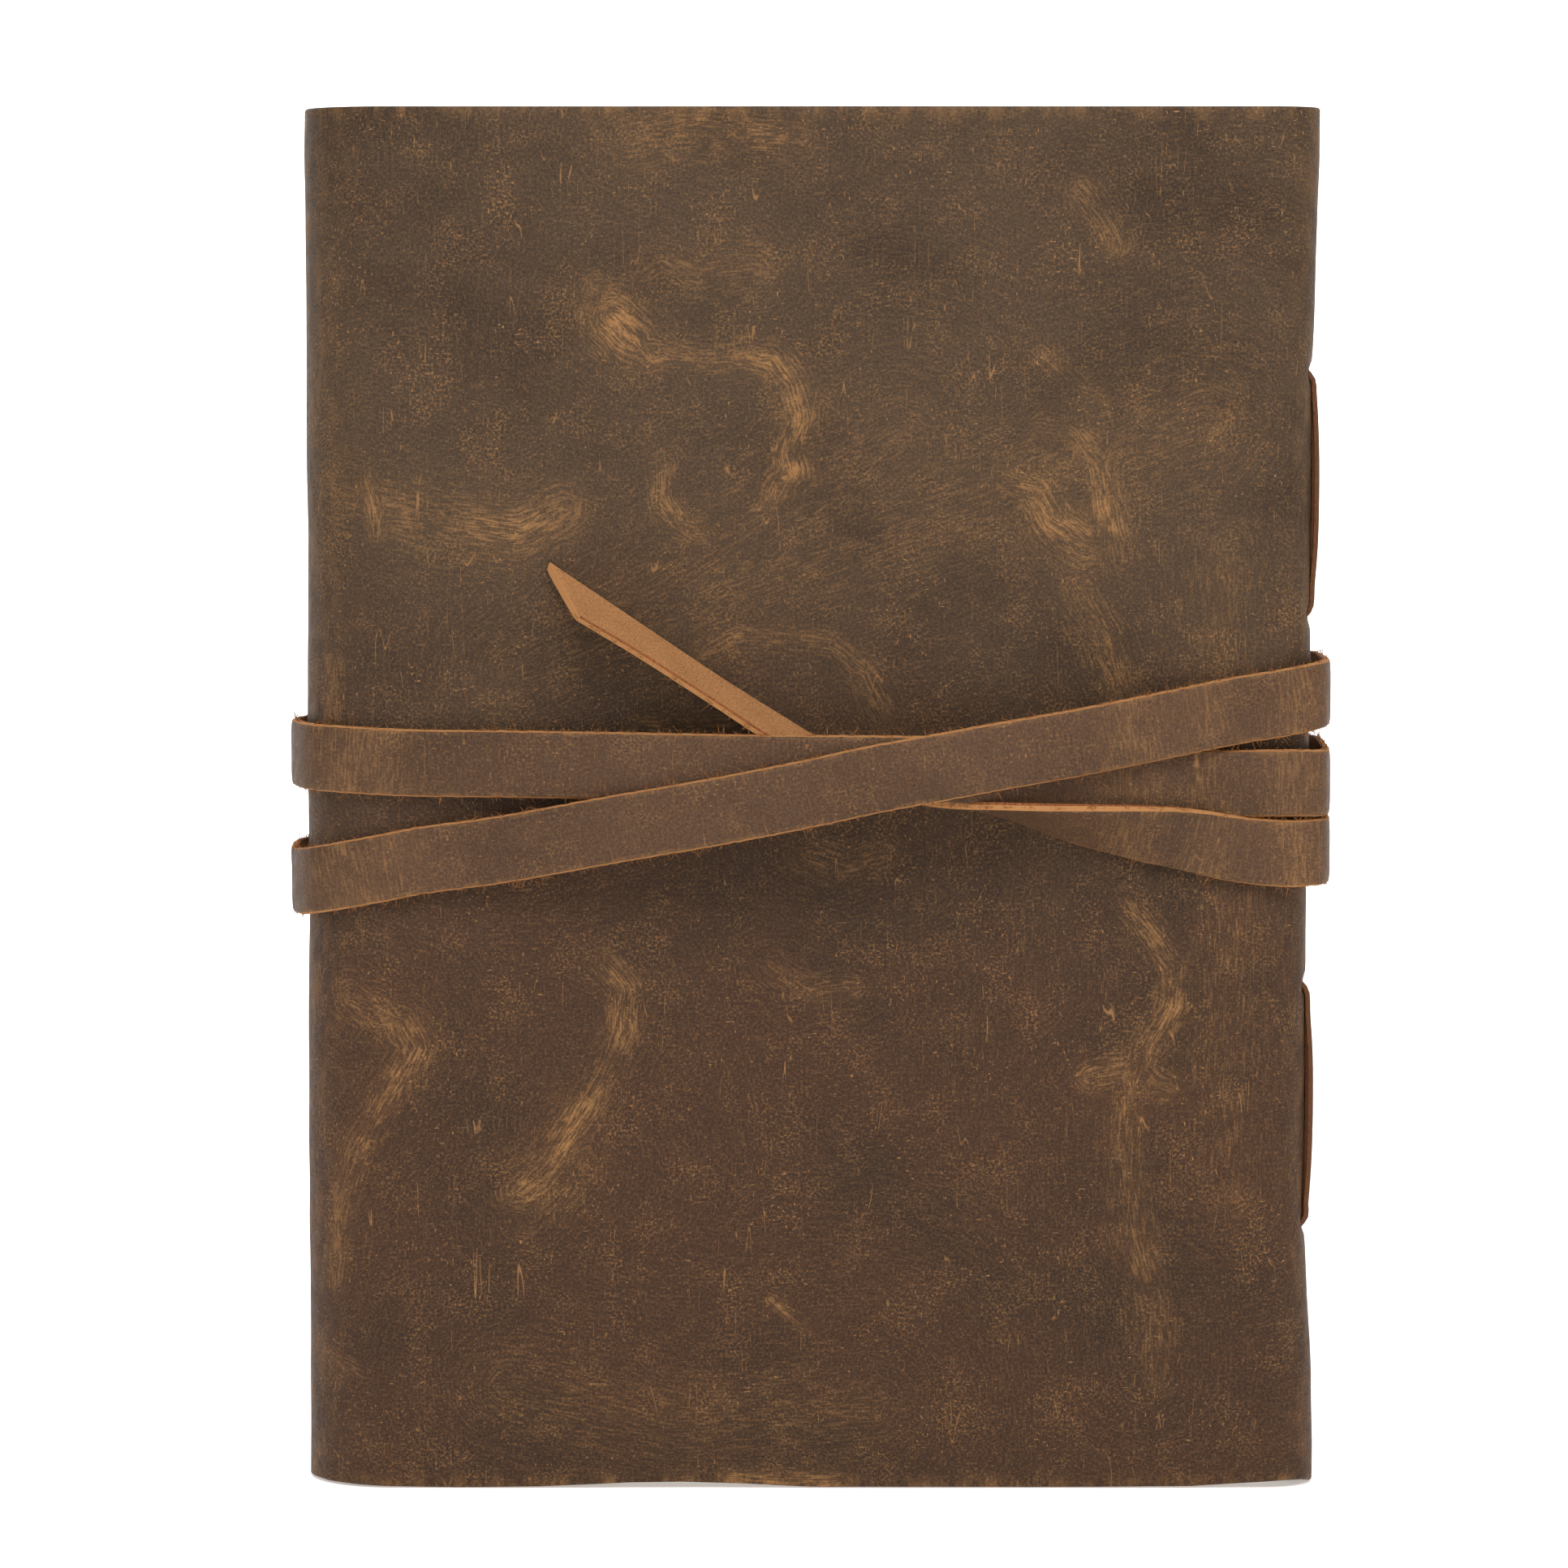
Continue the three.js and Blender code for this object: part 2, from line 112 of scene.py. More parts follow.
floor_half = 3.0
floor_bend = 1.1
floor_rows = [(-floor_half, 0.0), (floor_bend, 0.0)]
for step in range(1, 9):
    angle = step / 8 * math.pi / 2
    floor_rows.append((floor_bend + 0.5 * math.sin(angle), 0.5 - 0.5 * math.cos(angle)))
floor_rows.append((floor_bend + 0.5, 3.0))
floor_points = []
for y, z in floor_rows:
    floor_points += [(-floor_half, y, z), (floor_half, y, z)]
floor_faces = [(2 * i, 2 * i + 1, 2 * i + 3, 2 * i + 2) for i in range(len(floor_rows) - 1)]
studio_floor = mesh_object("studio_floor", floor_points, floor_faces)
for polygon in studio_floor.data.polygons:
    polygon.use_smooth = True
floor_material, _, floor_shader = new_material("pale_floor")
floor_shader.inputs["Base Color"].default_value = (0.93, 0.93, 0.92, 1)
floor_shader.inputs["Roughness"].default_value = 0.8
floor_shader.inputs["Emission Color"].default_value = (1, 1, 1, 1)
floor_shader.inputs["Emission Strength"].default_value = 0.35
studio_floor.data.materials.append(floor_material)

world = bpy.data.worlds.new("studio_world")
world.use_nodes = True
world_background = next(n for n in world.node_tree.nodes if n.type == "BACKGROUND")
world_background.inputs["Color"].default_value = (1, 1, 1, 1)
world_background.inputs["Strength"].default_value = 0.42
bpy.context.scene.world = world
bpy.context.scene.view_settings.view_transform = "Standard"


def softbox(name, place, target, width, height, power):
    light = bpy.data.lights.new(name, "AREA")
    light.shape = "RECTANGLE"
    light.size = width
    light.size_y = height
    light.energy = power
    lamp = bpy.data.objects.new(name, light)
    lamp.location = place
    aim = Vector(target) - Vector(place)
    lamp.rotation_euler = aim.to_track_quat("-Z", "Y").to_euler()
    bpy.context.collection.objects.link(lamp)


softbox("key_from_above", (0.1, -0.75, 1.05), (0, 0, 0.12), 1.0, 0.6, 13)
softbox("fill_left", (-1.1, -0.9, 0.45), (0, 0, 0.1), 0.8, 0.9, 3)
softbox("fill_right", (1.1, -0.8, 0.5), (0, 0, 0.1), 0.8, 0.9, 3)
softbox("backdrop_wash", (0, 0.7, 1.25), (0, 1.7, 1.0), 2.2, 0.6, 30)


# ---------------------------------------------------------------------------------------------
# Hide. One piece of thick oiled leather, cut round and folded: flap, turn at the fore edge,
# back, spine and front. It is made in lengths that meet at its bends, so that it can open.
# ---------------------------------------------------------------------------------------------
flap_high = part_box("flap")[1]
turn_low, turn_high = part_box("fore_edge_turn")
back_low, back_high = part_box("back_cover")
spine_low, spine_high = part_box("spine_panel")
front_low, front_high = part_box("front_cover")
hide_thickness = (back_high[1] - back_low[1]) / MM
hide_height = back_high[2] / MM
hide_pitch = 1.3
turn_radius = (turn_high[0] - turn_low[0]) / MM
spine_back_radius = 7.4
spine_front_radius = (spine_high[0] - spine_low[0]) / MM

turn_x = turn_high[0] / MM
back_y = back_low[1] / MM
front_y = front_high[1] / MM
flap_y = flap_high[1] / MM
spine_x = spine_high[0] / MM


def line(start, end):
    count = max(2, round(math.dist(start, end) / hide_pitch))
    return [(start[0] + (end[0] - start[0]) * i / count, start[1] + (end[1] - start[1]) * i / count)
            for i in range(count)]


def arc(centre, radius, first, last):
    count = max(6, round(abs(last - first) * radius / hide_pitch))
    points = []
    for i in range(count):
        a = first + (last - first) * i / count
        points.append((centre[0] + radius * math.cos(a), centre[1] + radius * math.sin(a)))
    return points


# The outside of the hide, seen from above, from the flap's free edge round to the front's.
quarter = math.pi / 2
lengths = {}
route = []


def lay(name, points):
    lengths[name] = (len(route), len(route) + len(points))
    route.extend(points)


turn_back_centre = (turn_x, back_y + turn_radius)
turn_front_centre = (turn_x, flap_y - turn_radius)
turn_middle_y = (turn_back_centre[1] + turn_front_centre[1]) / 2
lay("hide_flap", line((flap_high[0] / MM, flap_y), (turn_x, flap_y)))
lay("hide_turn_front", arc(turn_front_centre, turn_radius, quarter, 2 * quarter)
    + line((turn_x - turn_radius, turn_front_centre[1]), (turn_x - turn_radius, turn_middle_y)))
lay("hide_turn_back", line((turn_x - turn_radius, turn_middle_y),
                           (turn_x - turn_radius, turn_back_centre[1]))
    + arc(turn_back_centre, turn_radius, 2 * quarter, 3 * quarter))
spine_start = (spine_x - spine_back_radius, back_y)
spine_front_y = front_y - spine_front_radius
lay("hide_back", line((turn_x, back_y), spine_start)
    + arc((spine_start[0], back_y + spine_back_radius), spine_back_radius, -quarter, 0)
    + line((spine_x, back_y + spine_back_radius), (spine_x, spine_front_y)))
lay("hide_crease", arc((spine_x - spine_front_radius, spine_front_y), spine_front_radius, 0, quarter))
front_stop = (front_low[0] / MM, front_y)
lay("hide_front", line((spine_x - spine_front_radius, front_y), front_stop) + [front_stop])

route = np.array(route)
steps = np.diff(route, axis=0)
travel = np.concatenate([[0], np.cumsum(np.hypot(steps[:, 0], steps[:, 1]))])
heading = np.gradient(route, axis=0)
heading /= np.linalg.norm(heading, axis=1)[:, None]
outward = np.stack([heading[:, 1], -heading[:, 0]], axis=1)

# Rows up the hide, closer at its cut edges, where the leather is a little rounded.
middle_rows = np.linspace(1.2, hide_height - 1.2, round((hide_height - 2.4) / hide_pitch))
rows = np.concatenate([[0, 0.12, 0.4], middle_rows,
                       [hide_height - 0.4, hide_height - 0.12, hide_height]])


def edge_round(distance):
    """How far the grain surface falls away at a cut edge."""
    return 0.28 * np.clip(1 - distance / 0.4, 0, 1) ** 2


def smooth_noise(points, size, seed):
    return np.array([noise.noise(Vector((p[0] / size, p[1] / size, seed))) for p in points])


spine_middle_y = (back_y + front_y) / 2
lace_rows_half = 9.3
middle_x = book_middle_x / MM
middle_z = hide_height / 2
hole_heights = (-67, -29, 29, 67)
flap_corner = 12.0
spine_pull_reach = 34

# Use has bent the hide. By height, the spine and the fore edge stand out or in by a little, and
# by place along the back, the tail edge is lifted.
pinch_heights = [-110, -101, -91, -78, -66, -64, -27, 30, 67, 74, 86, 99, 110]
pinch_depths = [0.33, 0.33, 0.15, -0.55, -0.99, -1.32, -0.98, -0.63, -0.53, -0.19, 0.13, 0.44, 0.55]
bulge_heights = [-110, -101, -78, -52, -25, 36, 60, 86, 110]
bulge_depths = [-0.22, -0.22, -0.14, 0.0, -0.26, -0.33, -0.25, -0.19, -0.14]
hem_places = [-80, -76, -66, -55, -42, -28, -20, -10, 0, 40, 60, 70, 76, 82]
hem_depths = [1.5, 0.6, 0.25, 0.1, 0.25, 0.9, 1.0, 0.7, 0.2, 0.15, 0.3, 0.9, 1.3, 1.8]

# Wear: where the oiled hide has been folded and rubbed, as strokes across the back, with the
# half width and the strength at each point. Positions are across and up from the middle.
wear_strokes = [
    [(-32.5, 79, 3.0, 0.5), (-30.5, 75.5, 4.6, 1.0), (-27, 72, 4.0, 0.9), (-24, 69.5, 3.0, 0.5)],
    [(-26, 82, 2.4, 0.3), (-23.5, 84.5, 2.6, 0.3), (-18, 82, 3.0, 0.35), (-8, 83, 4.0, 0.3)],
    [(-24, 70, 2.4, 0.55), (-17, 69, 2.2, 0.45), (-10, 69.5, 2.4, 0.6), (-5.5, 68.5, 2.4, 0.8)],
    [(-6, 69, 2.4, 0.8), (-2.8, 65, 2.6, 1.0), (-1.6, 60, 2.6, 0.9), (-3, 55, 2.2, 0.65)],
    [(-3.5, 55, 2.2, 0.65), (-3.0, 51.5, 3.4, 0.95), (-5, 48, 2.6, 0.6)],
    [(2, 63, 1.4, 0.35), (5, 60, 1.3, 0.3)],
    [(42, 95, 2.2, 0.35), (45.5, 90.5, 2.2, 0.5), (47.5, 86.5, 2.2, 0.75)],
    [(-28, 103, 5, 0.32), (-18, 104.5, 4, 0.45), (-8, 103.5, 4, 0.4), (-1, 103, 3, 0.3)],
    [(-76, 48, 4, 0.3), (-66, 46, 5, 0.32), (-56, 44, 5, 0.4), (-45, 42.5, 4.2, 0.8), (-38, 46, 4, 0.55)],
    [(-69, 50, 2, 0.35), (-68, 45.5, 1.8, 0.7), (-67.5, 42, 1.6, 0.6)],
    [(-22.5, 53, 2.0, 0.4), (-22.5, 47, 2.2, 0.5), (-20, 43.5, 2.6, 0.75), (-17, 42, 2.2, 0.5)],
    [(36, 59, 1.8, 0.4), (41, 58, 2, 0.6), (45, 53, 2.2, 0.8), (46.5, 45, 3, 0.85), (48, 38, 2.4, 0.5)],
    [(30, 50, 2.4, 0.35), (35.5, 48.5, 3.4, 0.8), (38, 44, 4.2, 0.8), (43, 40.5, 4.4, 0.65)],
    [(36, 70, 1.6, 0.3), (42, 65, 1.4, 0.4), (47, 62, 1.2, 0.3)],
    [(42, 33, 3, 0.35), (46, 26, 3.4, 0.4), (48, 20, 3.4, 0.42), (49, 16, 2.4, 0.3)],
    [(-16, 23.5, 2.2, 0.55), (-11, 26, 2, 0.5), (-4, 26, 2, 0.45), (4, 24.5, 2, 0.4), (9, 20, 2, 0.5),
     (12, 14, 2.2, 0.4)],
    [(-26, 12, 1.6, 0.45), (-20, 11.5, 1.8, 0.5), (-12, 12.5, 1.6, 0.35)],
    [(-76, 22, 2.0, 0.35), (-75.5, 10, 2.2, 0.4)],
    [(-64, -35, 3.6, 0.7), (-62, -38.5, 3.6, 0.9), (-66, -46, 2.2, 0.5), (-71, -55, 2.0, 0.6),
     (-74, -64, 2.2, 0.65), (-75.5, -76, 1.6, 0.4)],
    [(-72, -31, 4, 0.4), (-66, -34, 3, 0.5)],
    [(-32, -25, 2, 0.4), (-28.5, -29, 2.8, 0.65), (-29, -36, 2.6, 0.65), (-32, -43, 2.2, 0.5),
     (-37, -51, 3.2, 0.8), (-41, -57, 3.4, 0.95), (-45.5, -61, 3.0, 0.8)],
    [(-38, -50, 5, 0.3), (-36, -57, 5, 0.3), (-44, -66, 4, 0.25)],
    [(-6, -26, 1.8, 0.35), (0, -29.5, 1.8, 0.5), (7, -29, 1.8, 0.4)],
    [(0, -8, 3.0, 0.5), (6, -10, 2.4, 0.4), (12, -8, 2.2, 0.4)],
    [(49, -15, 2, 0.35), (53, -20, 2.2, 0.5), (57.5, -26, 2.2, 0.8), (57, -32, 2.4, 0.85),
     (53, -38, 2.4, 0.6), (51, -44, 3.6, 0.75)],
    [(44, -43, 2.4, 0.55), (50, -42, 3.4, 0.7), (56, -45, 2.4, 0.45)],
    [(50, -46, 2.6, 0.5), (49.5, -56, 3, 0.35), (51, -68, 3, 0.4), (54, -79, 3, 0.4), (54, -90, 3, 0.25)],
    [(-6, -78, 0.7, 0.7), (-3, -80.5, 0.8, 0.8), (0, -83, 0.6, 0.6)],
    [(-76, -88, 1.0, 0.5), (-70, -90, 0.8, 0.5)],
    [(-12, -107.5, 1.6, 0.8), (-4, -107.5, 2.0, 0.9), (5, -107.6, 1.5, 0.7)],
    [(-47, -92, 6, 0.2), (-20, -97, 7, 0.2), (10, -95, 6, 0.2)],
    [(14, 55, 10, 0.18), (-46, 20, 9, 0.15), (62, 60, 9, 0.22)],
    [(65, 40, 6, 0.2), (66, -10, 6, 0.22), (66, -60, 6, 0.2)],
]
# The rest of the hide has the same kind of wear, by chance.
chance = np.random.default_rng(20)
panel_middles = {"flap": (travel[lengths["hide_flap"][0]] + travel[lengths["hide_flap"][1]]) / 2,
                 "front": (travel[lengths["hide_front"][0]] + travel[-1]) / 2}
back_first = lengths["hide_back"][0]
back_zero = travel[back_first] + (middle_x - route[back_first][0])


def wander(centre, span):
    """One hooked stroke of wear, near a place on the developed hide."""
    x = centre + chance.uniform(-span, span)
    z = chance.uniform(-95, 95)
    aim = chance.uniform(0, 2 * math.pi)
    bend = chance.uniform(-0.6, 0.6)
    points = []
    for _ in range(chance.integers(3, 6)):
        points.append((x - back_zero, z, chance.uniform(1.6, 3.4), chance.uniform(0.35, 0.9)))
        x += 7 * math.cos(aim)
        z += 7 * math.sin(aim)
        aim += bend
    return points


all_strokes = list(wear_strokes)
for _ in range(9):
    all_strokes.append(wander(panel_middles["flap"], 45))
for _ in range(12):
    all_strokes.append(wander(panel_middles["front"], 65))


def wear_at(across, up):
    """Wear at points of the developed hide, from 0 to 1, and the distance off its stroke."""
    worn = np.zeros(len(across))
    beside = np.zeros(len(across))
    for stroke in all_strokes:
        for (x0, z0, w0, k0), (x1, z1, w1, k1) in zip(stroke[:-1], stroke[1:]):
            dx, dz = x1 - x0, z1 - z0
            t = np.clip(((across - x0) * dx + (up - z0) * dz) / (dx * dx + dz * dz), 0, 1)
            gap = np.hypot(across - x0 - t * dx, up - z0 - t * dz)
            side = np.sign((across - x0) * dz - (up - z0) * dx)
            width = w0 + (w1 - w0) * t
            strength = (k0 + (k1 - k0) * t) * np.exp(-(gap / width) ** 2)
            beside = np.where(strength > worn, side * gap, beside)
            worn = np.maximum(worn, strength)
    return worn, beside


def hide_piece(name):
    """One length of the hide: grain side, flesh side, and cut edges; open where the next length joins."""
    first, last = lengths[name]
    last = min(last, len(route) - 1)
    places = np.arange(first, last + 1)
    across_count, up_count = len(places), len(rows)
    s_grid, z_grid = np.meshgrid(travel[places], rows, indexing="ij")
    xy = np.repeat(route[places][:, None, :], up_count, axis=1)
    out = np.repeat(outward[places][:, None, :], up_count, axis=1)
    if name == "hide_flap":
        to_end = np.minimum(rows, hide_height - rows)
        drop = np.sqrt(np.maximum(flap_corner ** 2 - (flap_corner - to_end) ** 2, 0))
        inset = np.where(to_end < flap_corner, flap_corner - drop, 0)
        share = 1 - (travel[places] - travel[places[0]]) / (travel[places[-1]] - travel[places[0]])
        xy[:, :, 0] -= share[:, None] * inset[None, :]
        s_grid = s_grid + share[:, None] * inset[None, :]
    cut = np.minimum(z_grid, hide_height - z_grid)
    free_edge = np.full(across_count, 99.0)
    if name == "hide_flap":
        free_edge = travel[places] - travel[places[0]]
    if name == "hide_front":
        free_edge = travel[places[-1]] - travel[places]
    cut = np.minimum(cut, free_edge[:, None])
    flat = np.stack([s_grid.ravel(), z_grid.ravel()], axis=1)
    waves = 0.28 * smooth_noise(flat, 34, 3.0) + 0.10 * smooth_noise(flat, 9, 8.0)
    waves = waves.reshape(across_count, up_count)
    up = z_grid - middle_z
    for hole in hole_heights:
        inside_row = np.abs(xy[:, :, 1] - spine_middle_y) < lace_rows_half
        waves -= 0.55 * np.exp(-((up - hole) / 1.3) ** 2) * inside_row * (out[:, :, 0] > 0.9)
    pinch = np.interp(up, pinch_heights, pinch_depths)
    bulge = np.interp(up, bulge_heights, bulge_depths)
    to_spine = np.clip((xy[:, :, 0] - (spine_x - spine_pull_reach)) / spine_pull_reach, 0, 1) ** 2
    to_fore = np.clip((turn_x + 10 - xy[:, :, 0]) / 20, 0, 1)
    xy[:, :, 0] += pinch * to_spine - bulge * to_fore
    hem = np.interp(xy[:, :, 0] - middle_x, hem_places, hem_depths)
    back_share = np.clip(-out[:, :, 1], 0, 1)
    lift = hem * back_share * np.clip(1 - z_grid / 12, 0, 1)
    height = z_grid + lift
    grain = waves - edge_round(cut)
    outside = np.concatenate([xy + out * grain[:, :, None], height[:, :, None]], axis=2)
    flesh = waves * 0.6 - hide_thickness + 0.6 * edge_round(cut)
    inside = np.concatenate([xy + out * flesh[:, :, None], height[:, :, None]], axis=2)
    count = across_count * up_count
    points = np.concatenate([outside.reshape(-1, 3), inside.reshape(-1, 3)]) * MM
    grid = np.arange(count).reshape(across_count, up_count)
    a, b = grid[:-1, :-1].ravel(), grid[1:, :-1].ravel()
    c, d = grid[1:, 1:].ravel(), grid[:-1, 1:].ravel()
    grain_faces = np.stack([a, b, c, d], axis=1)
    flesh_faces = np.stack([a, d, c, b], axis=1) + count
    rim = []
    borders = [(grid[:, 0], False), (grid[:, -1], True)]
    if name == "hide_flap":
        borders.append((grid[0, :], True))
    if name == "hide_front":
        borders.append((grid[-1, :], False))
    for border, turned in borders:
        p, q = border[:-1], border[1:]
        side = np.stack([p, p + count, q + count, q], axis=1)
        rim.append(side[:, ::-1] if turned else side)
    rim = np.concatenate(rim)
    faces = np.concatenate([grain_faces, flesh_faces, rim])
    piece = mesh_object(name, points, faces)
    mesh = piece.data
    for slot_material in (hide_grain, hide_flesh, cut_edge):
        mesh.materials.append(slot_material)
    kinds = np.concatenate([np.zeros(len(grain_faces)), np.ones(len(flesh_faces)), np.full(len(rim), 2)])
    mesh.polygons.foreach_set("material_index", kinds.astype(np.int32))
    smooth = np.concatenate([np.ones(len(grain_faces) + len(flesh_faces)), np.zeros(len(rim))]).astype(bool)
    mesh.polygons.foreach_set("use_smooth", smooth)
    s_flat = np.tile(s_grid.ravel() - back_zero, 2)
    z_flat = np.tile(z_grid.ravel() - middle_z, 2)
    corners = np.zeros(len(mesh.loops), np.int32)
    mesh.loops.foreach_get("vertex_index", corners)
    uv = np.stack([s_flat[corners], z_flat[corners]], axis=1) / 100
    mesh.uv_layers.new(name="flat").data.foreach_set("uv", uv.astype(np.float32).ravel())
    worn, beside = wear_at(s_flat[:count], z_flat[:count])
    # Where the hide faces sideways, at the spine and the fore edge, the tan is partly rubbing of the turns
    # and partly a painted grazing highlight. Near the cut edges the tan is rubbing.
    curl = 1 - np.abs(out[:, :, 1]).ravel()
    border_tan = np.exp(-(cut.ravel() / 1.4) ** 2)
    for label, values in (("worn", worn), ("beside", beside),
                          ("edge_tan", np.maximum(0.8 * curl, 0.7 * border_tan))):
        both = np.tile(values, 2).astype(np.float32)
        mesh.attributes.new(label, "FLOAT", "POINT").data.foreach_set("value", both)
    return piece


def leather_grain(name, dark, middle, warm, tan):
    """Oiled, crackled leather: dark oily grain that turns to tan where it is bent and rubbed. The tan on the
    hide's turns is partly painted highlight.
    """
    material, tree, shader = new_material(name)
    flat_map = node(tree, "ShaderNodeUVMap", uv_map="flat").outputs["UV"]

    def spots(scale, detail=3.0, rough=0.55, stretch=(1, 1, 1), turn=0.0, distort=0.0):
        placed = node(tree, "ShaderNodeMapping", {"Vector": flat_map, "Scale": stretch,
                                                  "Rotation": (0, 0, turn)}).outputs["Vector"]
        made = node(tree, "ShaderNodeTexNoise", {"Vector": placed, "Scale": scale, "Detail": detail,
                                                 "Roughness": rough, "Distortion": distort})
        return made.outputs["Fac"]

    def step(value, low, high, to_low=0.0, to_high=1.0):
        return node(tree, "ShaderNodeMapRange", {"Value": value, "From Min": low, "From Max": high,
                                                 "To Min": to_low, "To Max": to_high},
                    interpolation_type="SMOOTHSTEP").outputs["Result"]

    def maths(kind, a, b):
        return node(tree, "ShaderNodeMath", {0: a, 1: b}, operation=kind).outputs["Value"]

    def mix(share, a, b, kind="MIX"):
        made = tree.nodes.new("ShaderNodeMix")
        made.data_type = "RGBA"
        made.blend_type = kind
        for index, value in ((0, share), (6, a), (7, b)):
            if isinstance(value, bpy.types.NodeSocket):
                tree.links.new(value, made.inputs[index])
            else:
                made.inputs[index].default_value = value
        return made.outputs[2]

    split = node(tree, "ShaderNodeSeparateXYZ", {"Vector": flat_map})
    worn = node(tree, "ShaderNodeAttribute", attribute_name="worn").outputs["Fac"]
    beside = node(tree, "ShaderNodeAttribute", attribute_name="beside").outputs["Fac"]
    edge_tan = node(tree, "ShaderNodeAttribute", attribute_name="edge_tan").outputs["Fac"]

    # Body colour: greyer and lighter high up, redder and darker low down, in broad clouds.
    clouds = spots(3.5, 5, 0.6)
    high = step(maths("ADD", split.outputs["Y"], maths("MULTIPLY", clouds, 0.9)), 0.05, 1.0)
    body = mix(high, warm, middle)
    body = mix(step(spots(2.4, 4, 0.6, (1, 1.4, 1)), 0.42, 0.70, 0, 0.75), body, dark)
    haze = step(spots(11, 6, 0.75), 0.42, 0.70)
    nap = spots(230, 3, 0.8)
    body = mix(step(nap, 0.30, 0.50, 0.75, 0.0), body, dark)
    body = mix(maths("MULTIPLY", step(nap, 0.46, 0.70), step(haze, 0, 1, 0.20, 0.66)), body, tan)

    # Rubbed grain: tan, with fine wrinkles that follow each fold.
    shifted = node(tree, "ShaderNodeVectorMath", {0: flat_map, "Scale": 34.0},
                   operation="SCALE").outputs["Vector"]
    shifted = node(tree, "ShaderNodeSeparateXYZ", {"Vector": shifted})
    folds = node(tree, "ShaderNodeCombineXYZ", {"X": maths("MULTIPLY", beside, 3.4),
                                                "Y": shifted.outputs["X"], "Z": shifted.outputs["Y"]})
    wrinkles = node(tree, "ShaderNodeTexNoise", {"Vector": folds.outputs["Vector"], "Scale": 1.0,
                                                 "Detail": 2.0, "Roughness": 0.55, "Distortion": 0.6})
    wrinkles = wrinkles.outputs["Fac"]
    patchy = step(spots(18, 6, 0.75), 0.34, 0.66, 0.25, 1.0)
    soft = maths("MULTIPLY", worn, patchy)
    lines = step(maths("ADD", wrinkles, maths("MULTIPLY", soft, 0.12)), 0.48, 0.68)
    lines = maths("MULTIPLY", lines, step(nap, 0.3, 0.6, 0.45, 1.0))
    lines = maths("MULTIPLY", lines, maths("ADD", maths("MULTIPLY", soft, 0.95), 0.10))
    rubbed = maths("ADD", lines, maths("MULTIPLY", soft, 0.22))
    # Tan along the edges is rubbing. On the hide's turns it is also painted grazing highlight.
    edge_rub_and_sheen = maths("MULTIPLY", edge_tan, step(spots(34, 6, 0.75, (1, 0.35, 1)), 0.42, 0.70, 0.0, 0.6))
    rubbed = maths("MINIMUM", maths("ADD", rubbed, edge_rub_and_sheen), 0.9)
    colour = mix(rubbed, body, tan)

    # Pale flecks and hair-fine scratches.
    fleck_mask = step(spots(9, 4, 0.6), 0.42, 0.64, 0.1, 1.0)
    flecks = step(spots(230, 2, 0.6, (1, 0.4, 1), 0.5), 0.650, 0.70)
    flecks_b = step(spots(210, 2, 0.6, (0.4, 1, 1), -0.7), 0.655, 0.71)
    flecks = maths("MULTIPLY", maths("MAXIMUM", flecks, flecks_b), fleck_mask)
    colour = mix(maths("MULTIPLY", flecks, 0.8), colour, tan)

    def hairs(scale, turn, seed_shift, width):
        line_field = spots(scale, 1.0, 0.4, (1.0, 0.09, 1), turn, 0.4)
        near = node(tree, "ShaderNodeMath", {0: line_field, 1: 0.5 + seed_shift},
                    operation="SUBTRACT").outputs["Value"]
        near = node(tree, "ShaderNodeMath", {0: near}, operation="ABSOLUTE").outputs["Value"]
        thin = step(near, 0.0, width, 1.0, 0.0)
        where = step(spots(13, 3, 0.6, (1, 1, 1), turn + seed_shift), 0.58, 0.66)
        return maths("MULTIPLY", thin, where)

    scratches = maths("MAXIMUM", hairs(26, 0.9, 0.03, 0.006), hairs(24, -0.8, 0.05, 0.006))
    scratches = maths("MAXIMUM", scratches, hairs(30, 1.5, -0.04, 0.005))
    colour = mix(maths("MULTIPLY", scratches, 0.65), colour, tan)
    tree.links.new(colour, shader.inputs["Base Color"])

    # Sheen of the oil, duller where it is rubbed.
    gloss = maths("ADD", step(spots(40, 5, 0.65), 0.3, 0.7, 0.50, 0.66), maths("MULTIPLY", rubbed, 0.12))
    tree.links.new(gloss, shader.inputs["Roughness"])
    shader.inputs["Specular IOR Level"].default_value = 0.15

    # Fine nap, with the wrinkles standing up where the hide is rubbed.
    relief = maths("ADD", maths("MULTIPLY", nap, 0.5), maths("MULTIPLY", spots(110, 5, 0.7), 0.8))
    relief = maths("ADD", relief, maths("MULTIPLY", rubbed, 0.7))
    relief = maths("SUBTRACT", relief, maths("MULTIPLY", scratches, 0.4))
    bump = node(tree, "ShaderNodeBump", {"Height": relief, "Strength": 0.5, "Distance": 0.00025})
    tree.links.new(bump.outputs["Normal"], shader.inputs["Normal"])
    return material


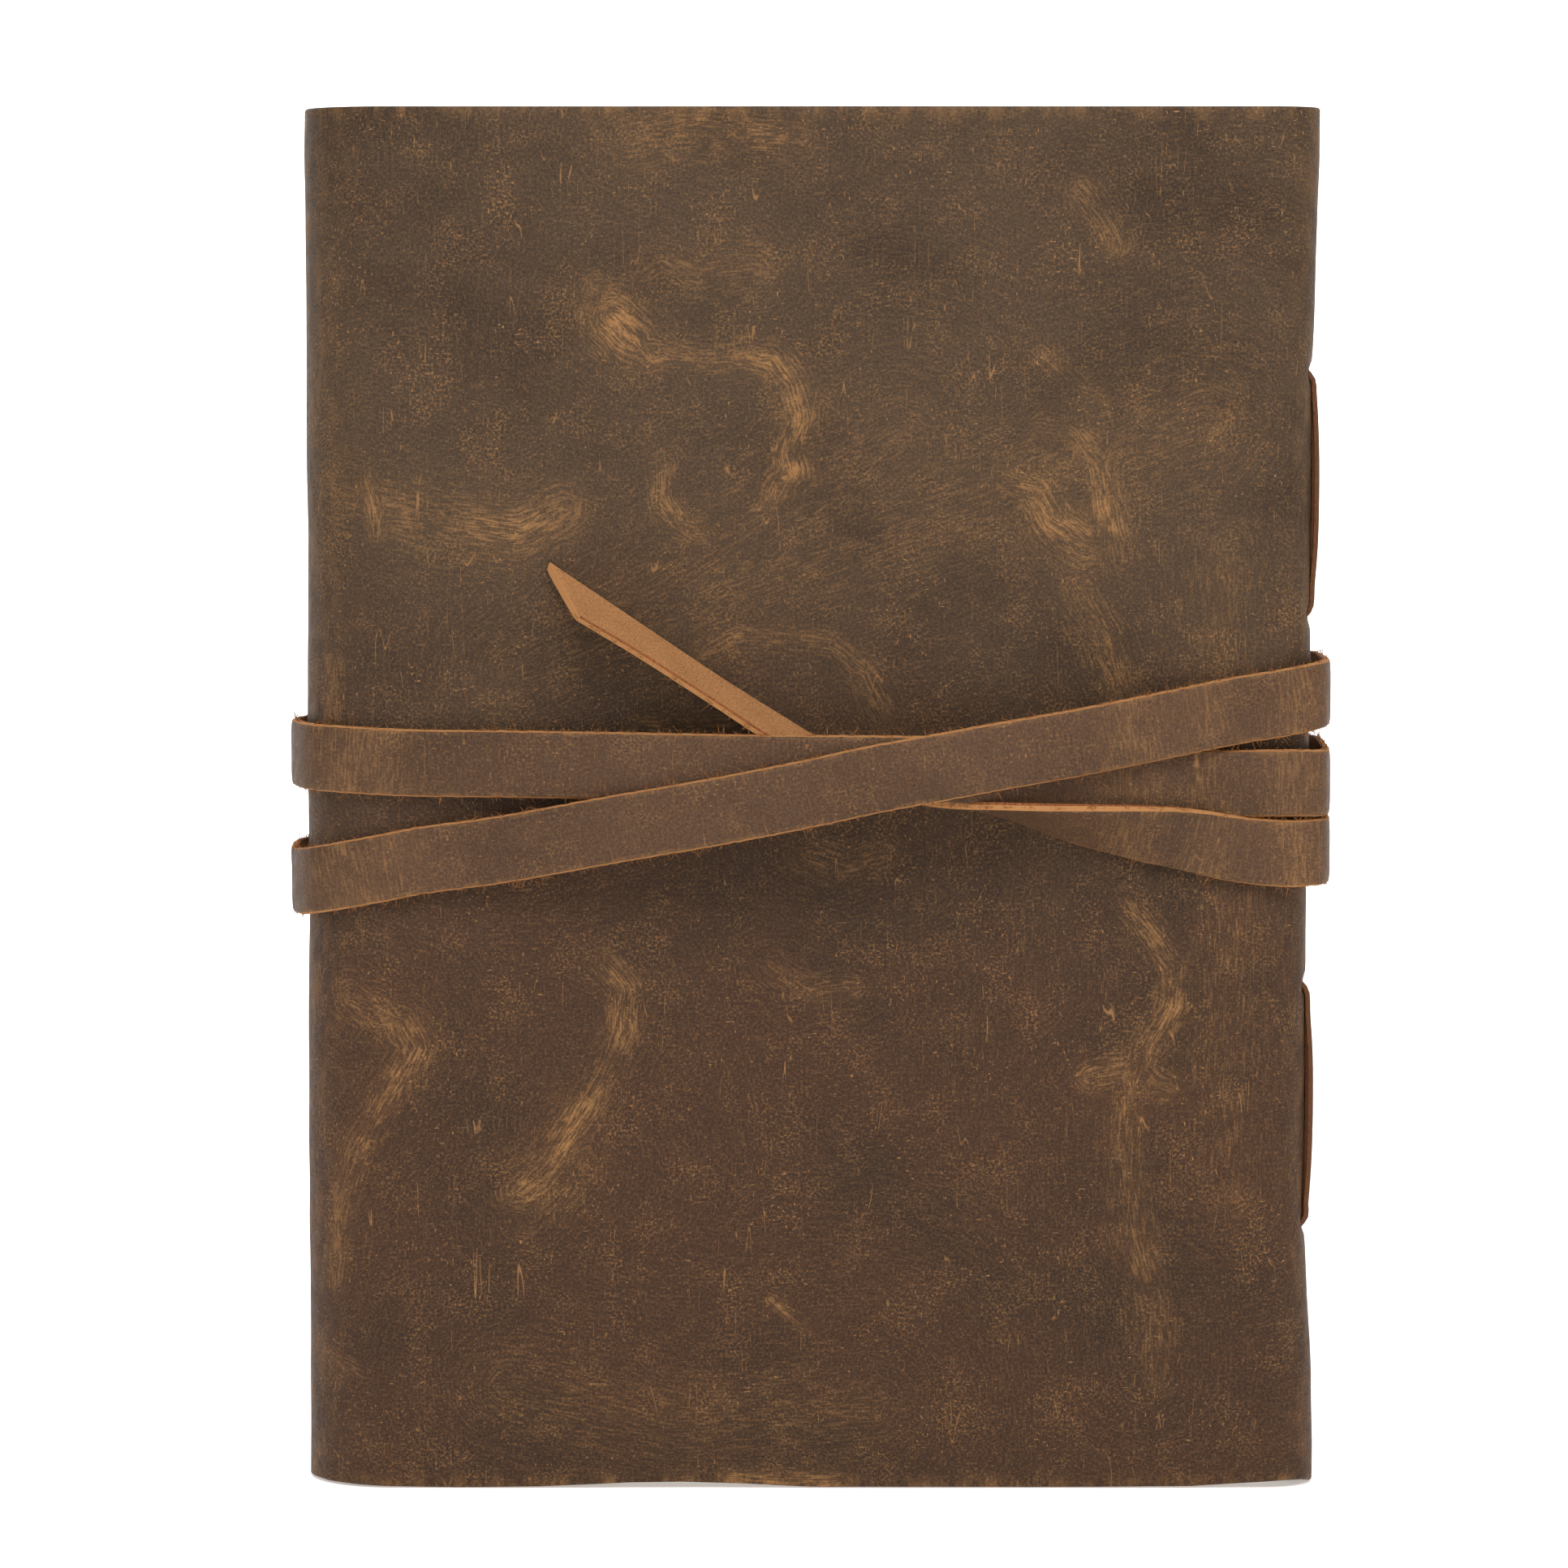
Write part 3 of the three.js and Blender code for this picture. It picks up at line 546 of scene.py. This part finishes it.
def suede(name, light, dark, scale=210.0):
    """The flesh side or a cut edge: matt, fibrous, dry leather."""
    material, tree, shader = new_material(name)
    flat_map = node(tree, "ShaderNodeUVMap", uv_map="flat").outputs["UV"]
    fine = node(tree, "ShaderNodeTexNoise", {"Vector": flat_map, "Scale": scale, "Detail": 4.0,
                                             "Roughness": 0.7}).outputs["Fac"]
    broad = node(tree, "ShaderNodeTexNoise", {"Vector": flat_map, "Scale": 18.0, "Detail": 4.0,
                                              "Roughness": 0.6}).outputs["Fac"]
    ramp = node(tree, "ShaderNodeValToRGB", {"Fac": fine})
    ramp.color_ramp.elements[0].position = 0.32
    ramp.color_ramp.elements[0].color = dark
    ramp.color_ramp.elements[1].position = 0.66
    ramp.color_ramp.elements[1].color = light
    shade = tree.nodes.new("ShaderNodeMix")
    shade.data_type = "RGBA"
    shade.blend_type = "MULTIPLY"
    shade.inputs[0].default_value = 0.45
    tree.links.new(ramp.outputs["Color"], shade.inputs[6])
    grey = node(tree, "ShaderNodeMapRange", {"Value": broad, "From Min": 0.3, "From Max": 0.7,
                                             "To Min": 0.72, "To Max": 1.1}).outputs["Result"]
    tree.links.new(grey, shade.inputs[7])
    tree.links.new(shade.outputs[2], shader.inputs["Base Color"])
    shader.inputs["Roughness"].default_value = 0.9
    shader.inputs["Specular IOR Level"].default_value = 0.15
    bump = node(tree, "ShaderNodeBump", {"Height": fine, "Strength": 0.5, "Distance": 0.0003})
    tree.links.new(bump.outputs["Normal"], shader.inputs["Normal"])
    return material


hide_grain = leather_grain("oiled_hide", (0.021, 0.0125, 0.0075, 1), (0.050, 0.031, 0.018, 1),
                           (0.041, 0.019, 0.010, 1), (0.31, 0.155, 0.056, 1))
hide_flesh = suede("hide_flesh_side", (0.29, 0.155, 0.075, 1), (0.17, 0.085, 0.038, 1), 300.0)
cut_edge = suede("raw_cut_edge", (0.36, 0.165, 0.055, 1), (0.14, 0.055, 0.020, 1), 320.0)

hide_pieces = {name: hide_piece(name) for name in lengths}
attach(hide_pieces["hide_back"], "book")
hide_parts("back_cover", "spine_panel")
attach(hide_pieces["hide_front"], "front")
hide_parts("front_cover")
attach(hide_pieces["hide_flap"], "flap_body")
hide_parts("flap")
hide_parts("fore_edge_turn")
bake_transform(hide_pieces["hide_turn_back"])
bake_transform(hide_pieces["hide_turn_front"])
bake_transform(hide_pieces["hide_crease"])


# ---------------------------------------------------------------------------------------------
# Signatures. Folded sheets of soft cream paper, one inside the other, sewn at the fold. Their
# cut edges are a little uneven.
# ---------------------------------------------------------------------------------------------
paper_leaf = 0.42
sheets_per_signature = 4
paper, paper_tree, paper_shader = new_material("cream_paper")
paper_place = node(paper_tree, "ShaderNodeTexCoord").outputs["Object"]
paper_pulp = node(paper_tree, "ShaderNodeTexNoise", {"Vector": paper_place, "Scale": 900.0, "Detail": 4.0,
                                                     "Roughness": 0.7}).outputs["Fac"]
paper_cloud = node(paper_tree, "ShaderNodeTexNoise", {"Vector": paper_place, "Scale": 28.0,
                                                      "Detail": 3.0}).outputs["Fac"]
paper_ramp = node(paper_tree, "ShaderNodeValToRGB", {"Fac": paper_cloud})
paper_ramp.color_ramp.elements[0].position = 0.3
paper_ramp.color_ramp.elements[0].color = (0.50, 0.42, 0.28, 1)
paper_ramp.color_ramp.elements[1].position = 0.7
paper_ramp.color_ramp.elements[1].color = (0.62, 0.545, 0.40, 1)
paper_tree.links.new(paper_ramp.outputs["Color"], paper_shader.inputs["Base Color"])
paper_shader.inputs["Roughness"].default_value = 0.92
paper_bump = node(paper_tree, "ShaderNodeBump", {"Height": paper_pulp, "Strength": 0.35, "Distance": 0.0001})
paper_tree.links.new(paper_bump.outputs["Normal"], paper_shader.inputs["Normal"])


def folded_sheet(low, high, inward, shift):
    """One folded sheet of a signature: a thin U, seen from above, standing on its tail edge."""
    middle = (low[1] + high[1]) / 2
    half = (high[1] - low[1]) / 2 - inward
    fold_x = high[0] - (high[1] - low[1]) / 2
    outer, inner = [], []
    for side, edge in ((1, low[0] + shift[0]), (-1, low[0] + shift[1])):
        leaf = [(edge, side), ((edge + fold_x) / 2, side)]
        bends = [(fold_x, side)]
        order = leaf + bends if side > 0 else bends + leaf[::-1]
        for x, way in order:
            outer.append((x, middle + way * half))
            inner.append((x, middle + way * (half - paper_leaf * MM)))
        if side > 0:
            for k in range(1, 8):
                a = math.pi / 2 - math.pi * k / 8
                tight = half - paper_leaf * MM
                outer.append((fold_x + half * math.cos(a), middle + half * math.sin(a)))
                inner.append((fold_x + tight * math.cos(a), middle + tight * math.sin(a)))
    return outer, inner


def signature(name):
    low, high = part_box(name)
    points, faces = [], []
    for sheet in range(sheets_per_signature):
        inward = sheet * (high[1] - low[1]) / 2 / (sheets_per_signature + 0.05)
        shift = [chance.uniform(0, 0.7) * MM, chance.uniform(0, 0.7) * MM]
        outer, inner = folded_sheet(low, high, inward, shift)
        tail = low[2] + chance.uniform(0, 0.35) * MM
        head = high[2] - chance.uniform(0, 0.35) * MM
        base, count = len(points), len(outer)
        for z in (tail, head):
            points += [(x, y, z) for x, y in outer]
            points += [(x, y, z) for x, y in inner]
        for i in range(count - 1):
            o0, o1, i0, i1 = base + i, base + i + 1, base + count + i, base + count + i + 1
            up = 2 * count
            faces += [(o0, o0 + up, o1 + up, o1), (i0, i1, i1 + up, i0 + up)]
            faces += [(o0, o1, i1, i0), (o0 + up, i0 + up, i1 + up, o1 + up)]
        for i in (0, count - 1):
            o, n, up = base + i, base + count + i, 2 * count
            faces.append((o, n, n + up, o + up) if i == 0 else (o, o + up, n + up, n))
    piece = mesh_object(name + "_sheets", points, faces)
    piece.data.materials.append(paper)
    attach(piece, "book")
    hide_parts(name)


for index in range(1, 7):
    signature(f"signature_{index}")


# ---------------------------------------------------------------------------------------------
# Laces. Narrow thongs cut from the same hide. Each comes out of the spine, lies along it as one
# long stitch, goes in, runs down inside and makes the other stitch.
# ---------------------------------------------------------------------------------------------
def smooth_path(points, spacing):
    """Centripetal curve through points with several values each, resampled to even steps."""
    points = np.array(points, float)
    ends = np.vstack([2 * points[0] - points[1], points, 2 * points[-1] - points[-2]])
    fine = []
    for p0, p1, p2, p3 in zip(ends[:-3], ends[1:-2], ends[2:-1], ends[3:]):
        t0 = 0.0
        t1 = t0 + max(np.linalg.norm(p1[:3] - p0[:3]), 1e-6) ** 0.5
        t2 = t1 + max(np.linalg.norm(p2[:3] - p1[:3]), 1e-6) ** 0.5
        t3 = t2 + max(np.linalg.norm(p3[:3] - p2[:3]), 1e-6) ** 0.5
        for t in np.linspace(t1, t2, 24, endpoint=False):
            a1 = (t1 - t) / (t1 - t0) * p0 + (t - t0) / (t1 - t0) * p1
            a2 = (t2 - t) / (t2 - t1) * p1 + (t - t1) / (t2 - t1) * p2
            a3 = (t3 - t) / (t3 - t2) * p2 + (t - t2) / (t3 - t2) * p3
            b1 = (t2 - t) / (t2 - t0) * a1 + (t - t0) / (t2 - t0) * a2
            b2 = (t3 - t) / (t3 - t1) * a2 + (t - t1) / (t3 - t1) * a3
            fine.append((t2 - t) / (t2 - t1) * b1 + (t - t1) / (t2 - t1) * b2)
    fine = np.array(fine + [ends[-2]])
    run = np.concatenate([[0], np.cumsum(np.linalg.norm(np.diff(fine[:, :3], axis=0), axis=1))])
    marks = np.linspace(0, run[-1], max(3, round(run[-1] / spacing)))
    return np.stack([np.interp(marks, run, fine[:, k]) for k in range(fine.shape[1])], axis=1), marks


def band(name, centres, across, marks, width, thickness, edge, slant=0.0, wear=None, rough=0.12):
    """A strip of leather along a path: crowned grain side, flesh side and cut edges."""
    along = np.gradient(centres, axis=0)
    along /= np.linalg.norm(along, axis=1)[:, None]
    grain_way = np.cross(across, along)
    grain_way /= np.linalg.norm(grain_way, axis=1)[:, None]
    bevel = 0.28
    reach = width / 2 - bevel
    spread = np.array([-1, -0.97, -0.86, -0.6, -0.3, 0, 0.3, 0.6, 0.86, 0.97, 1.0])
    crown = -0.20 * np.abs(spread) ** 8
    top = [(w * reach, thickness / 2 + c) for w, c in zip(spread, crown)]
    bottom = [(w * (reach + bevel * 0.8), -thickness / 2) for w in spread[::-1]]
    side_a = [(reach + bevel, -thickness * 0.2)]
    side_b = [(-reach - bevel, -thickness * 0.2)]
    ring = top + side_a + bottom + side_b
    kinds = [0] * (len(top) - 1) + [3, 2] + [1] * (len(bottom) - 1) + [2, 3]
    count, around = len(centres), len(ring)
    ragged = np.array([[noise.noise(Vector((m / 1.1, side * 9.0, len(name)))) for m in marks]
                       for side in (-1, 1)])
    points = np.zeros((count, around, 3))
    to_end = marks[-1] - marks
    cut_back = slant * np.clip(1 - to_end / 14.0, 0, 1)
    for k, (w, h) in enumerate(ring):
        frayed = np.clip(abs(w) / reach, 0, 1) ** 6 * rough
        wide = w + np.sign(w) * frayed * (ragged[0] if w < 0 else ragged[1])
        points[:, k] = (centres + across * wide[:, None] + grain_way * h
                        - along * (cut_back * w / width)[:, None])
    points = points.reshape(-1, 3) * MM
    faces, face_kinds = [], []
    for i in range(count - 1):
        for k in range(around):
            j = (k + 1) % around
            faces.append((i * around + k, i * around + j, (i + 1) * around + j, (i + 1) * around + k))
            face_kinds.append(kinds[k])
    last = (count - 1) * around
    for k in range(len(top) - 1):
        a, b = k, k + 1
        c, d = around - 2 - k - 1, around - 2 - k
        faces.append((d, c, b, a))
        faces.append((last + a, last + b, last + c, last + d))
        face_kinds += [3, 3]
    for a, b, c in ((len(top) - 1, len(top), len(top) + 1), (around - 2, around - 1, 0)):
        faces.append((c, b, a))
        faces.append((last + a, last + b, last + c))
        face_kinds += [3, 3]
    piece = mesh_object(name, points, faces)
    mesh = piece.data
    for slot_material in (strap_grain, strap_flesh, *edge):
        mesh.materials.append(slot_material)
    mesh.polygons.foreach_set("material_index", np.array(face_kinds, np.int32))
    mesh.polygons.foreach_set("use_smooth", np.array([kind < 2 for kind in face_kinds], bool))
    corners = np.zeros(len(mesh.loops), np.int32)
    mesh.loops.foreach_get("vertex_index", corners)
    u = np.repeat(marks, around)
    v = np.tile([w for w, _ in ring], count) + np.tile([0 if h > 0 else 40 for _, h in ring], count)
    mesh.uv_layers.new(name="flat").data.foreach_set(
        "uv", (np.stack([u[corners] + 7 * len(name), v[corners]], axis=1) / 100).astype(np.float32).ravel())
    worn = np.repeat(wear if wear is not None else np.zeros(count), around)
    near_edge = np.tile([np.clip((abs(w) / reach - 0.86) / 0.14, 0, 1) for w, _ in ring], count)
    beside = np.repeat(marks, around)
    for label, values in (("worn", worn), ("beside", beside), ("edge_tan", near_edge * 0.9)):
        mesh.attributes.new(label, "FLOAT", "POINT").data.foreach_set("value", values.astype(np.float32))
    return piece


strap_grain = leather_grain("oiled_strap", (0.034, 0.018, 0.010, 1), (0.074, 0.040, 0.023, 1),
                            (0.070, 0.035, 0.019, 1), (0.29, 0.145, 0.052, 1))
strap_flesh = suede("strap_flesh_side", (0.46, 0.225, 0.090, 1), (0.19, 0.075, 0.025, 1), 240.0)
edge_core = suede("strap_edge_core", (0.27, 0.095, 0.032, 1), (0.11, 0.036, 0.012, 1), 320.0)
strap_edge = suede("strap_cut_edge", (0.56, 0.27, 0.10, 1), (0.27, 0.11, 0.038, 1), 320.0)
lace_edge = suede("lace_cut_edge", (0.17, 0.068, 0.028, 1), (0.055, 0.020, 0.010, 1), 320.0)

lace_width = 2.2
lace_thickness = 0.8
lace_half = [(-2.5, 0.0), (-2.5, 24.0), (-2.3, 27.4), (-1.2, 28.7), (-0.2, 30.0), (0.1, 34.0), (0.4, 40.0),
             (0.55, 48.0), (0.45, 56.0), (0.2, 63.0), (-0.1, 65.8), (-1.2, 67.2), (-2.3, 68.6), (-2.5, 72.0)]
for index in range(1, 7):
    lace_low, lace_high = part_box(f"lace_{index}")
    lace_y = (lace_low[1] + lace_high[1]) / 2 / MM
    swell = chance.uniform(-0.15, 0.2)
    path = [(x + (swell if x > 0.3 else 0), z) for x, z in lace_half]
    full = [(spine_x + x, lace_y, middle_z - z) for x, z in path[::-1]]
    full += [(spine_x + x, lace_y, middle_z + z) for x, z in path[1:]]
    centres, marks = smooth_path(full, 1.0)
    heights = centres[:, 2] - middle_z
    centres[:, 0] += np.interp(heights, pinch_heights, pinch_depths) * 0.8
    across = np.tile([0.0, 1.0, 0.0], (len(centres), 1))
    lace = band(f"lace_{index}_thong", centres, across, marks, lace_width, lace_thickness,
                (lace_edge, lace_edge))
    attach(lace, "book")
    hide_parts(f"lace_{index}")


# ---------------------------------------------------------------------------------------------
# Strap. A long strip cut from the hide, sewn to the flap. It goes round the book two and a half
# times; the end is turned on its edge, tucked under the two passes on the back and left free.
# ---------------------------------------------------------------------------------------------
strap_width = 10.5
strap_thickness = 1.4
strap_rest = 1.0
edge_rest = 1.7
strap_middle = middle_z + 1.0


def on_back(across, lift, up, twist=0.0):
    return (middle_x + across, back_y - lift, strap_middle + up, twist)


def on_flap(across, up):
    return (middle_x + across, flap_y + strap_rest, strap_middle + up, 0.0)


def round_spine(before, after, slope):
    r = spine_front_radius + edge_rest
    d = (r + 0.3) * math.sqrt(0.5)
    x, y = spine_x - spine_front_radius, front_y - spine_front_radius
    low = back_y + spine_front_radius
    z0, z1 = strap_middle + before, strap_middle + after
    return [(x - 14, front_y + 2.2, z0 - 0.3, 0), (x, y + r, z0, 0), (x + d, y + d, z0, 0), (x + r, y, z0, 0),
            (x + r + 0.3, (y + low) / 2, (z0 + z1) / 2, 0), (x + r, low, z1, 0),
            (x + d, low - d, z1 - slope * (r - d), 0), (x, low - r, z1 - slope * r, 0)]


def round_fore_edge(before, after, slope):
    r = turn_radius + edge_rest
    d = (r + 0.4) * math.sqrt(0.5)
    bx, by = turn_back_centre
    fy = turn_front_centre[1]
    z0, z1 = strap_middle + before, strap_middle + after
    return [(bx, back_y - edge_rest, z0 + slope * r, 0), (bx - d, by - d, z0 + slope * (r - d), 0),
            (bx - r, by, z0, 0), (bx - r, fy, z1, 0), (bx - d, fy + d, z1, 0), (bx, flap_y + 1.4, z1, 0)]


anchor_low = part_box("anchor_stitch_lower")[0]
strap_points = [
    (anchor_low[0] / MM - 3, flap_y + strap_rest, middle_z + 0.6, 0),
    (flap_high[0] / MM - 6, flap_y + strap_rest, middle_z + 1.2, 0),
    *round_spine(2.9, 1.9, -0.03),
    on_back(62, 1.7, 2.0), on_back(52, 3.0, 2.6), on_back(42, 5.2, 3.2), on_back(32, 8.0, 3.9),
    on_back(24, 10.6, 4.5), on_back(14, 11.9, 4.8), on_back(0, 11.6, 4.9), on_back(-14, 9.0, 4.9),
    on_back(-30, 5.6, 5.0), on_back(-48, 2.5, 5.1), on_back(-61, 1.8, 5.2),
    *round_fore_edge(6.0, 6.2, -0.04),
    on_flap(-20, 9.2), on_flap(30, 12.2),
    *round_spine(16.3, 15.9, 0.19),
    on_back(66, 2.4, 13.3), on_back(54, 4.9, 11.0), on_back(42, 8.2, 8.8), on_back(30, 11.3, 6.9),
    on_back(20, 13.4, 5.2), on_back(10, 13.8, 3.4), on_back(0, 13.4, 1.2), on_back(-14, 11.0, -1.7),
    on_back(-30, 7.6, -4.7), on_back(-48, 3.5, -8.2), on_back(-61, 1.9, -10.1),
    *round_fore_edge(-14.1, -13.3, 0.20),
    on_flap(-20, -11.4), on_flap(30, -10.2),
    *round_spine(-8.7, -8.8, 0.02),
    on_back(67, 1.5, -8.3, 8), on_back(58.5, 2.8, -6.7, 22), on_back(49.3, 4.3, -5.3, 41),
    on_back(42.6, 5.0, -4.3, 54), on_back(35.8, 5.5, -3.0, 69), on_back(29.8, 5.7, -1.9, 80),
    on_back(19.0, 5.7, -0.4, 91), on_back(8.0, 5.7, 3.4, 99), on_back(-3.0, 5.7, 9.3, 107),
    on_back(-13.9, 5.6, 16.2, 106), on_back(-23.5, 5.5, 22.5, 107), on_back(-38.0, 5.4, 31.9, 112),
]
centres, marks = smooth_path(strap_points, 0.9)
twist = np.radians(centres[:, 3])
centres = centres[:, :3]
along = np.gradient(centres, axis=0)
along /= np.linalg.norm(along, axis=1)[:, None]
face = np.cross([0, 0, 1.0], along)
face /= np.linalg.norm(face, axis=1)[:, None]
upward = np.cross(along, face)
across = upward * np.cos(twist)[:, None] + face * np.sin(twist)[:, None]
strap_wear = np.zeros(len(marks))
for place, size, strength in ((-70, 9, 0.4), (50, 5, 0.45), (62, 4, 0.35), (76, 5, 0.4)):
    on_this = np.abs(centres[:, 0] - middle_x - place) / size
    strap_wear = np.maximum(strap_wear, strength * np.exp(-on_this ** 2) * (centres[:, 1] < 0))
strap_slant = 8.7
strap = band("wrap_strap_leather", centres, across, marks, strap_width, strap_thickness,
             (edge_core, strap_edge), strap_slant, strap_wear)
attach(strap, "flap_body")
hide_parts("wrap_strap")
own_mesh(strap)

# Loose fibres stand out along its cut edges, in small tufts.
fibre_count = 4200
fibre_longest = 1.45
loose_fibre = suede("loose_fibres", (0.34, 0.145, 0.045, 1), (0.15, 0.055, 0.018, 1), 320.0)


def fibres(name, roots, ways, sides, count, longest):
    """Slim tapered strands with their roots in a leather edge, which curl as they stand out."""
    points, faces = [], []
    clump = np.array([noise.noise(Vector((i * 0.55, 3.0, len(name)))) for i in range(len(roots))])
    odds = np.clip(0.45 + 1.6 * clump, 0.06, 1) ** 1.5
    picks = chance.choice(len(roots), count, p=odds / odds.sum())
    for pick in picks:
        root = np.array(roots[pick]) + ways[pick] * chance.uniform(-0.5, 0.5)
        out = sides[pick] + ways[pick] * chance.normal(0, 0.8) + chance.normal(0, 0.45, 3)
        out /= np.linalg.norm(out)
        curl = chance.normal(0, 0.55, 3)
        length = chance.uniform(0.25, 1) ** 1.6 * longest
        thick = chance.uniform(0.035, 0.070)
        level = np.cross(out, [0.31, 0.52, 0.79])
        level /= np.linalg.norm(level)
        other = np.cross(out, level)
        base = len(points)
        for share, slim in ((-0.2, 1.0), (0.35, 0.9), (0.72, 0.65)):
            at = root + out * length * share + curl * length * max(share, 0) ** 2 * 0.8
            for k in range(3):
                a = 2 * math.pi * k / 3
                points.append((at + (level * math.cos(a) + other * math.sin(a)) * thick * slim) * MM)
        points.append((root + out * length + curl * length * 0.8) * MM)
        for ring in (0, 3):
            for k in range(3):
                a, b = base + ring + k, base + ring + (k + 1) % 3
                faces.append((a, b, b + 3, a + 3))
        faces += [(base + 6 + k, base + 6 + (k + 1) % 3, base + 9) for k in range(3)]
        faces.append((base + 2, base + 1, base))
    piece = mesh_object(name, points, faces)
    corners = np.zeros(len(piece.data.loops), np.int32)
    piece.data.loops.foreach_get("vertex_index", corners)
    places = np.array(points)[:, [0, 2]] * 10
    piece.data.uv_layers.new(name="flat").data.foreach_set("uv", places[corners].astype(np.float32).ravel())
    piece.data.materials.append(loose_fibre)
    return piece


grain_way = np.cross(across, along)
half_width = strap_width / 2 - 0.15
edge_roots = np.concatenate([centres + across * half_width, centres - across * half_width])
edge_sides = np.concatenate([across, -across]) + np.concatenate([grain_way, grain_way]) * 0.35
strap_fuzz = fibres("wrap_strap_fibres", edge_roots, np.concatenate([along, along]), edge_sides,
                    fibre_count, fibre_longest)
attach(strap_fuzz, "flap_body")
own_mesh(strap_fuzz)


# ---------------------------------------------------------------------------------------------
# Anchor stitches. Two turns of thick waxed thread hold the strap on the flap. The thread is
# twisted from three strands and has a dull waxy shine.
# ---------------------------------------------------------------------------------------------
waxed_thread, thread_tree, thread_shader = new_material("waxed_thread")
thread_place = node(thread_tree, "ShaderNodeTexCoord").outputs["Object"]
thread_turned = node(thread_tree, "ShaderNodeMapping", {"Vector": thread_place,
                                                        "Rotation": (0, 0.6, 0)}).outputs["Vector"]
ply = node(thread_tree, "ShaderNodeTexWave", {"Vector": thread_turned, "Scale": 420.0, "Distortion": 0.6,
                                              "Detail": 2.0}, bands_direction="X").outputs["Fac"]
thread_ramp = node(thread_tree, "ShaderNodeValToRGB", {"Fac": ply})
thread_ramp.color_ramp.elements[0].color = (0.26, 0.19, 0.11, 1)
thread_ramp.color_ramp.elements[1].color = (0.58, 0.46, 0.29, 1)
thread_tree.links.new(thread_ramp.outputs["Color"], thread_shader.inputs["Base Color"])
thread_shader.inputs["Roughness"].default_value = 0.55
thread_bump = node(thread_tree, "ShaderNodeBump", {"Height": ply, "Strength": 0.7, "Distance": 0.0001})
thread_tree.links.new(thread_bump.outputs["Normal"], thread_shader.inputs["Normal"])


def stitch(name):
    """A loop of three-ply thread through strap and flap, with rounded corners at its holes."""
    low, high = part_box(name)
    thread = (high[2] - low[2]) / MM
    core, corner = thread * 0.36, 0.55
    x0, x1 = low[0] / MM + thread / 2, high[0] / MM - thread / 2
    y0, y1 = low[1] / MM + thread / 2, high[1] / MM - thread / 2
    height = (low[2] + high[2]) / 2 / MM
    path = []
    for cx, cy, first in ((x1 - corner, y1 - corner, 0), (x0 + corner, y1 - corner, 1),
                          (x0 + corner, y0 + corner, 2), (x1 - corner, y0 + corner, 3)):
        for k in range(7):
            a = (first + k / 6) * math.pi / 2
            path.append((cx + corner * math.cos(a), cy + corner * math.sin(a)))
    path = np.array(path + path[:1])
    run = np.concatenate([[0], np.cumsum(np.hypot(*np.diff(path, axis=0).T))])
    rings, around = 120, 18
    stops = np.linspace(0, run[-1], rings + 1)[:-1]
    centre = np.stack([np.interp(stops, run, path[:, k]) for k in range(2)], axis=1)
    ahead = np.roll(centre, -1, axis=0) - np.roll(centre, 1, axis=0)
    ahead /= np.linalg.norm(ahead, axis=1)[:, None]
    points, faces = [], []
    turns = 9
    for i, (at, way) in enumerate(zip(centre, ahead)):
        for k in range(around):
            a = 2 * math.pi * k / around
            ply_turn = a * 1.5 + math.pi * turns * i / rings * 1.5
            r = core + thread * 0.14 * abs(math.cos(ply_turn))
            points.append(((at[0] + way[1] * r * math.cos(a)) * MM, (at[1] - way[0] * r * math.cos(a)) * MM,
                           (height + r * math.sin(a)) * MM))
            here, there, k_next = i * around, (i + 1) % rings * around, (k + 1) % around
            faces.append((here + k, there + k, there + k_next, here + k_next))
    piece = mesh_object(name + "_thread", points, faces)
    for polygon in piece.data.polygons:
        polygon.use_smooth = True
    piece.data.materials.append(waxed_thread)
    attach(piece, "flap_body")
    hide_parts(name)


stitch("anchor_stitch_lower")
stitch("anchor_stitch_upper")
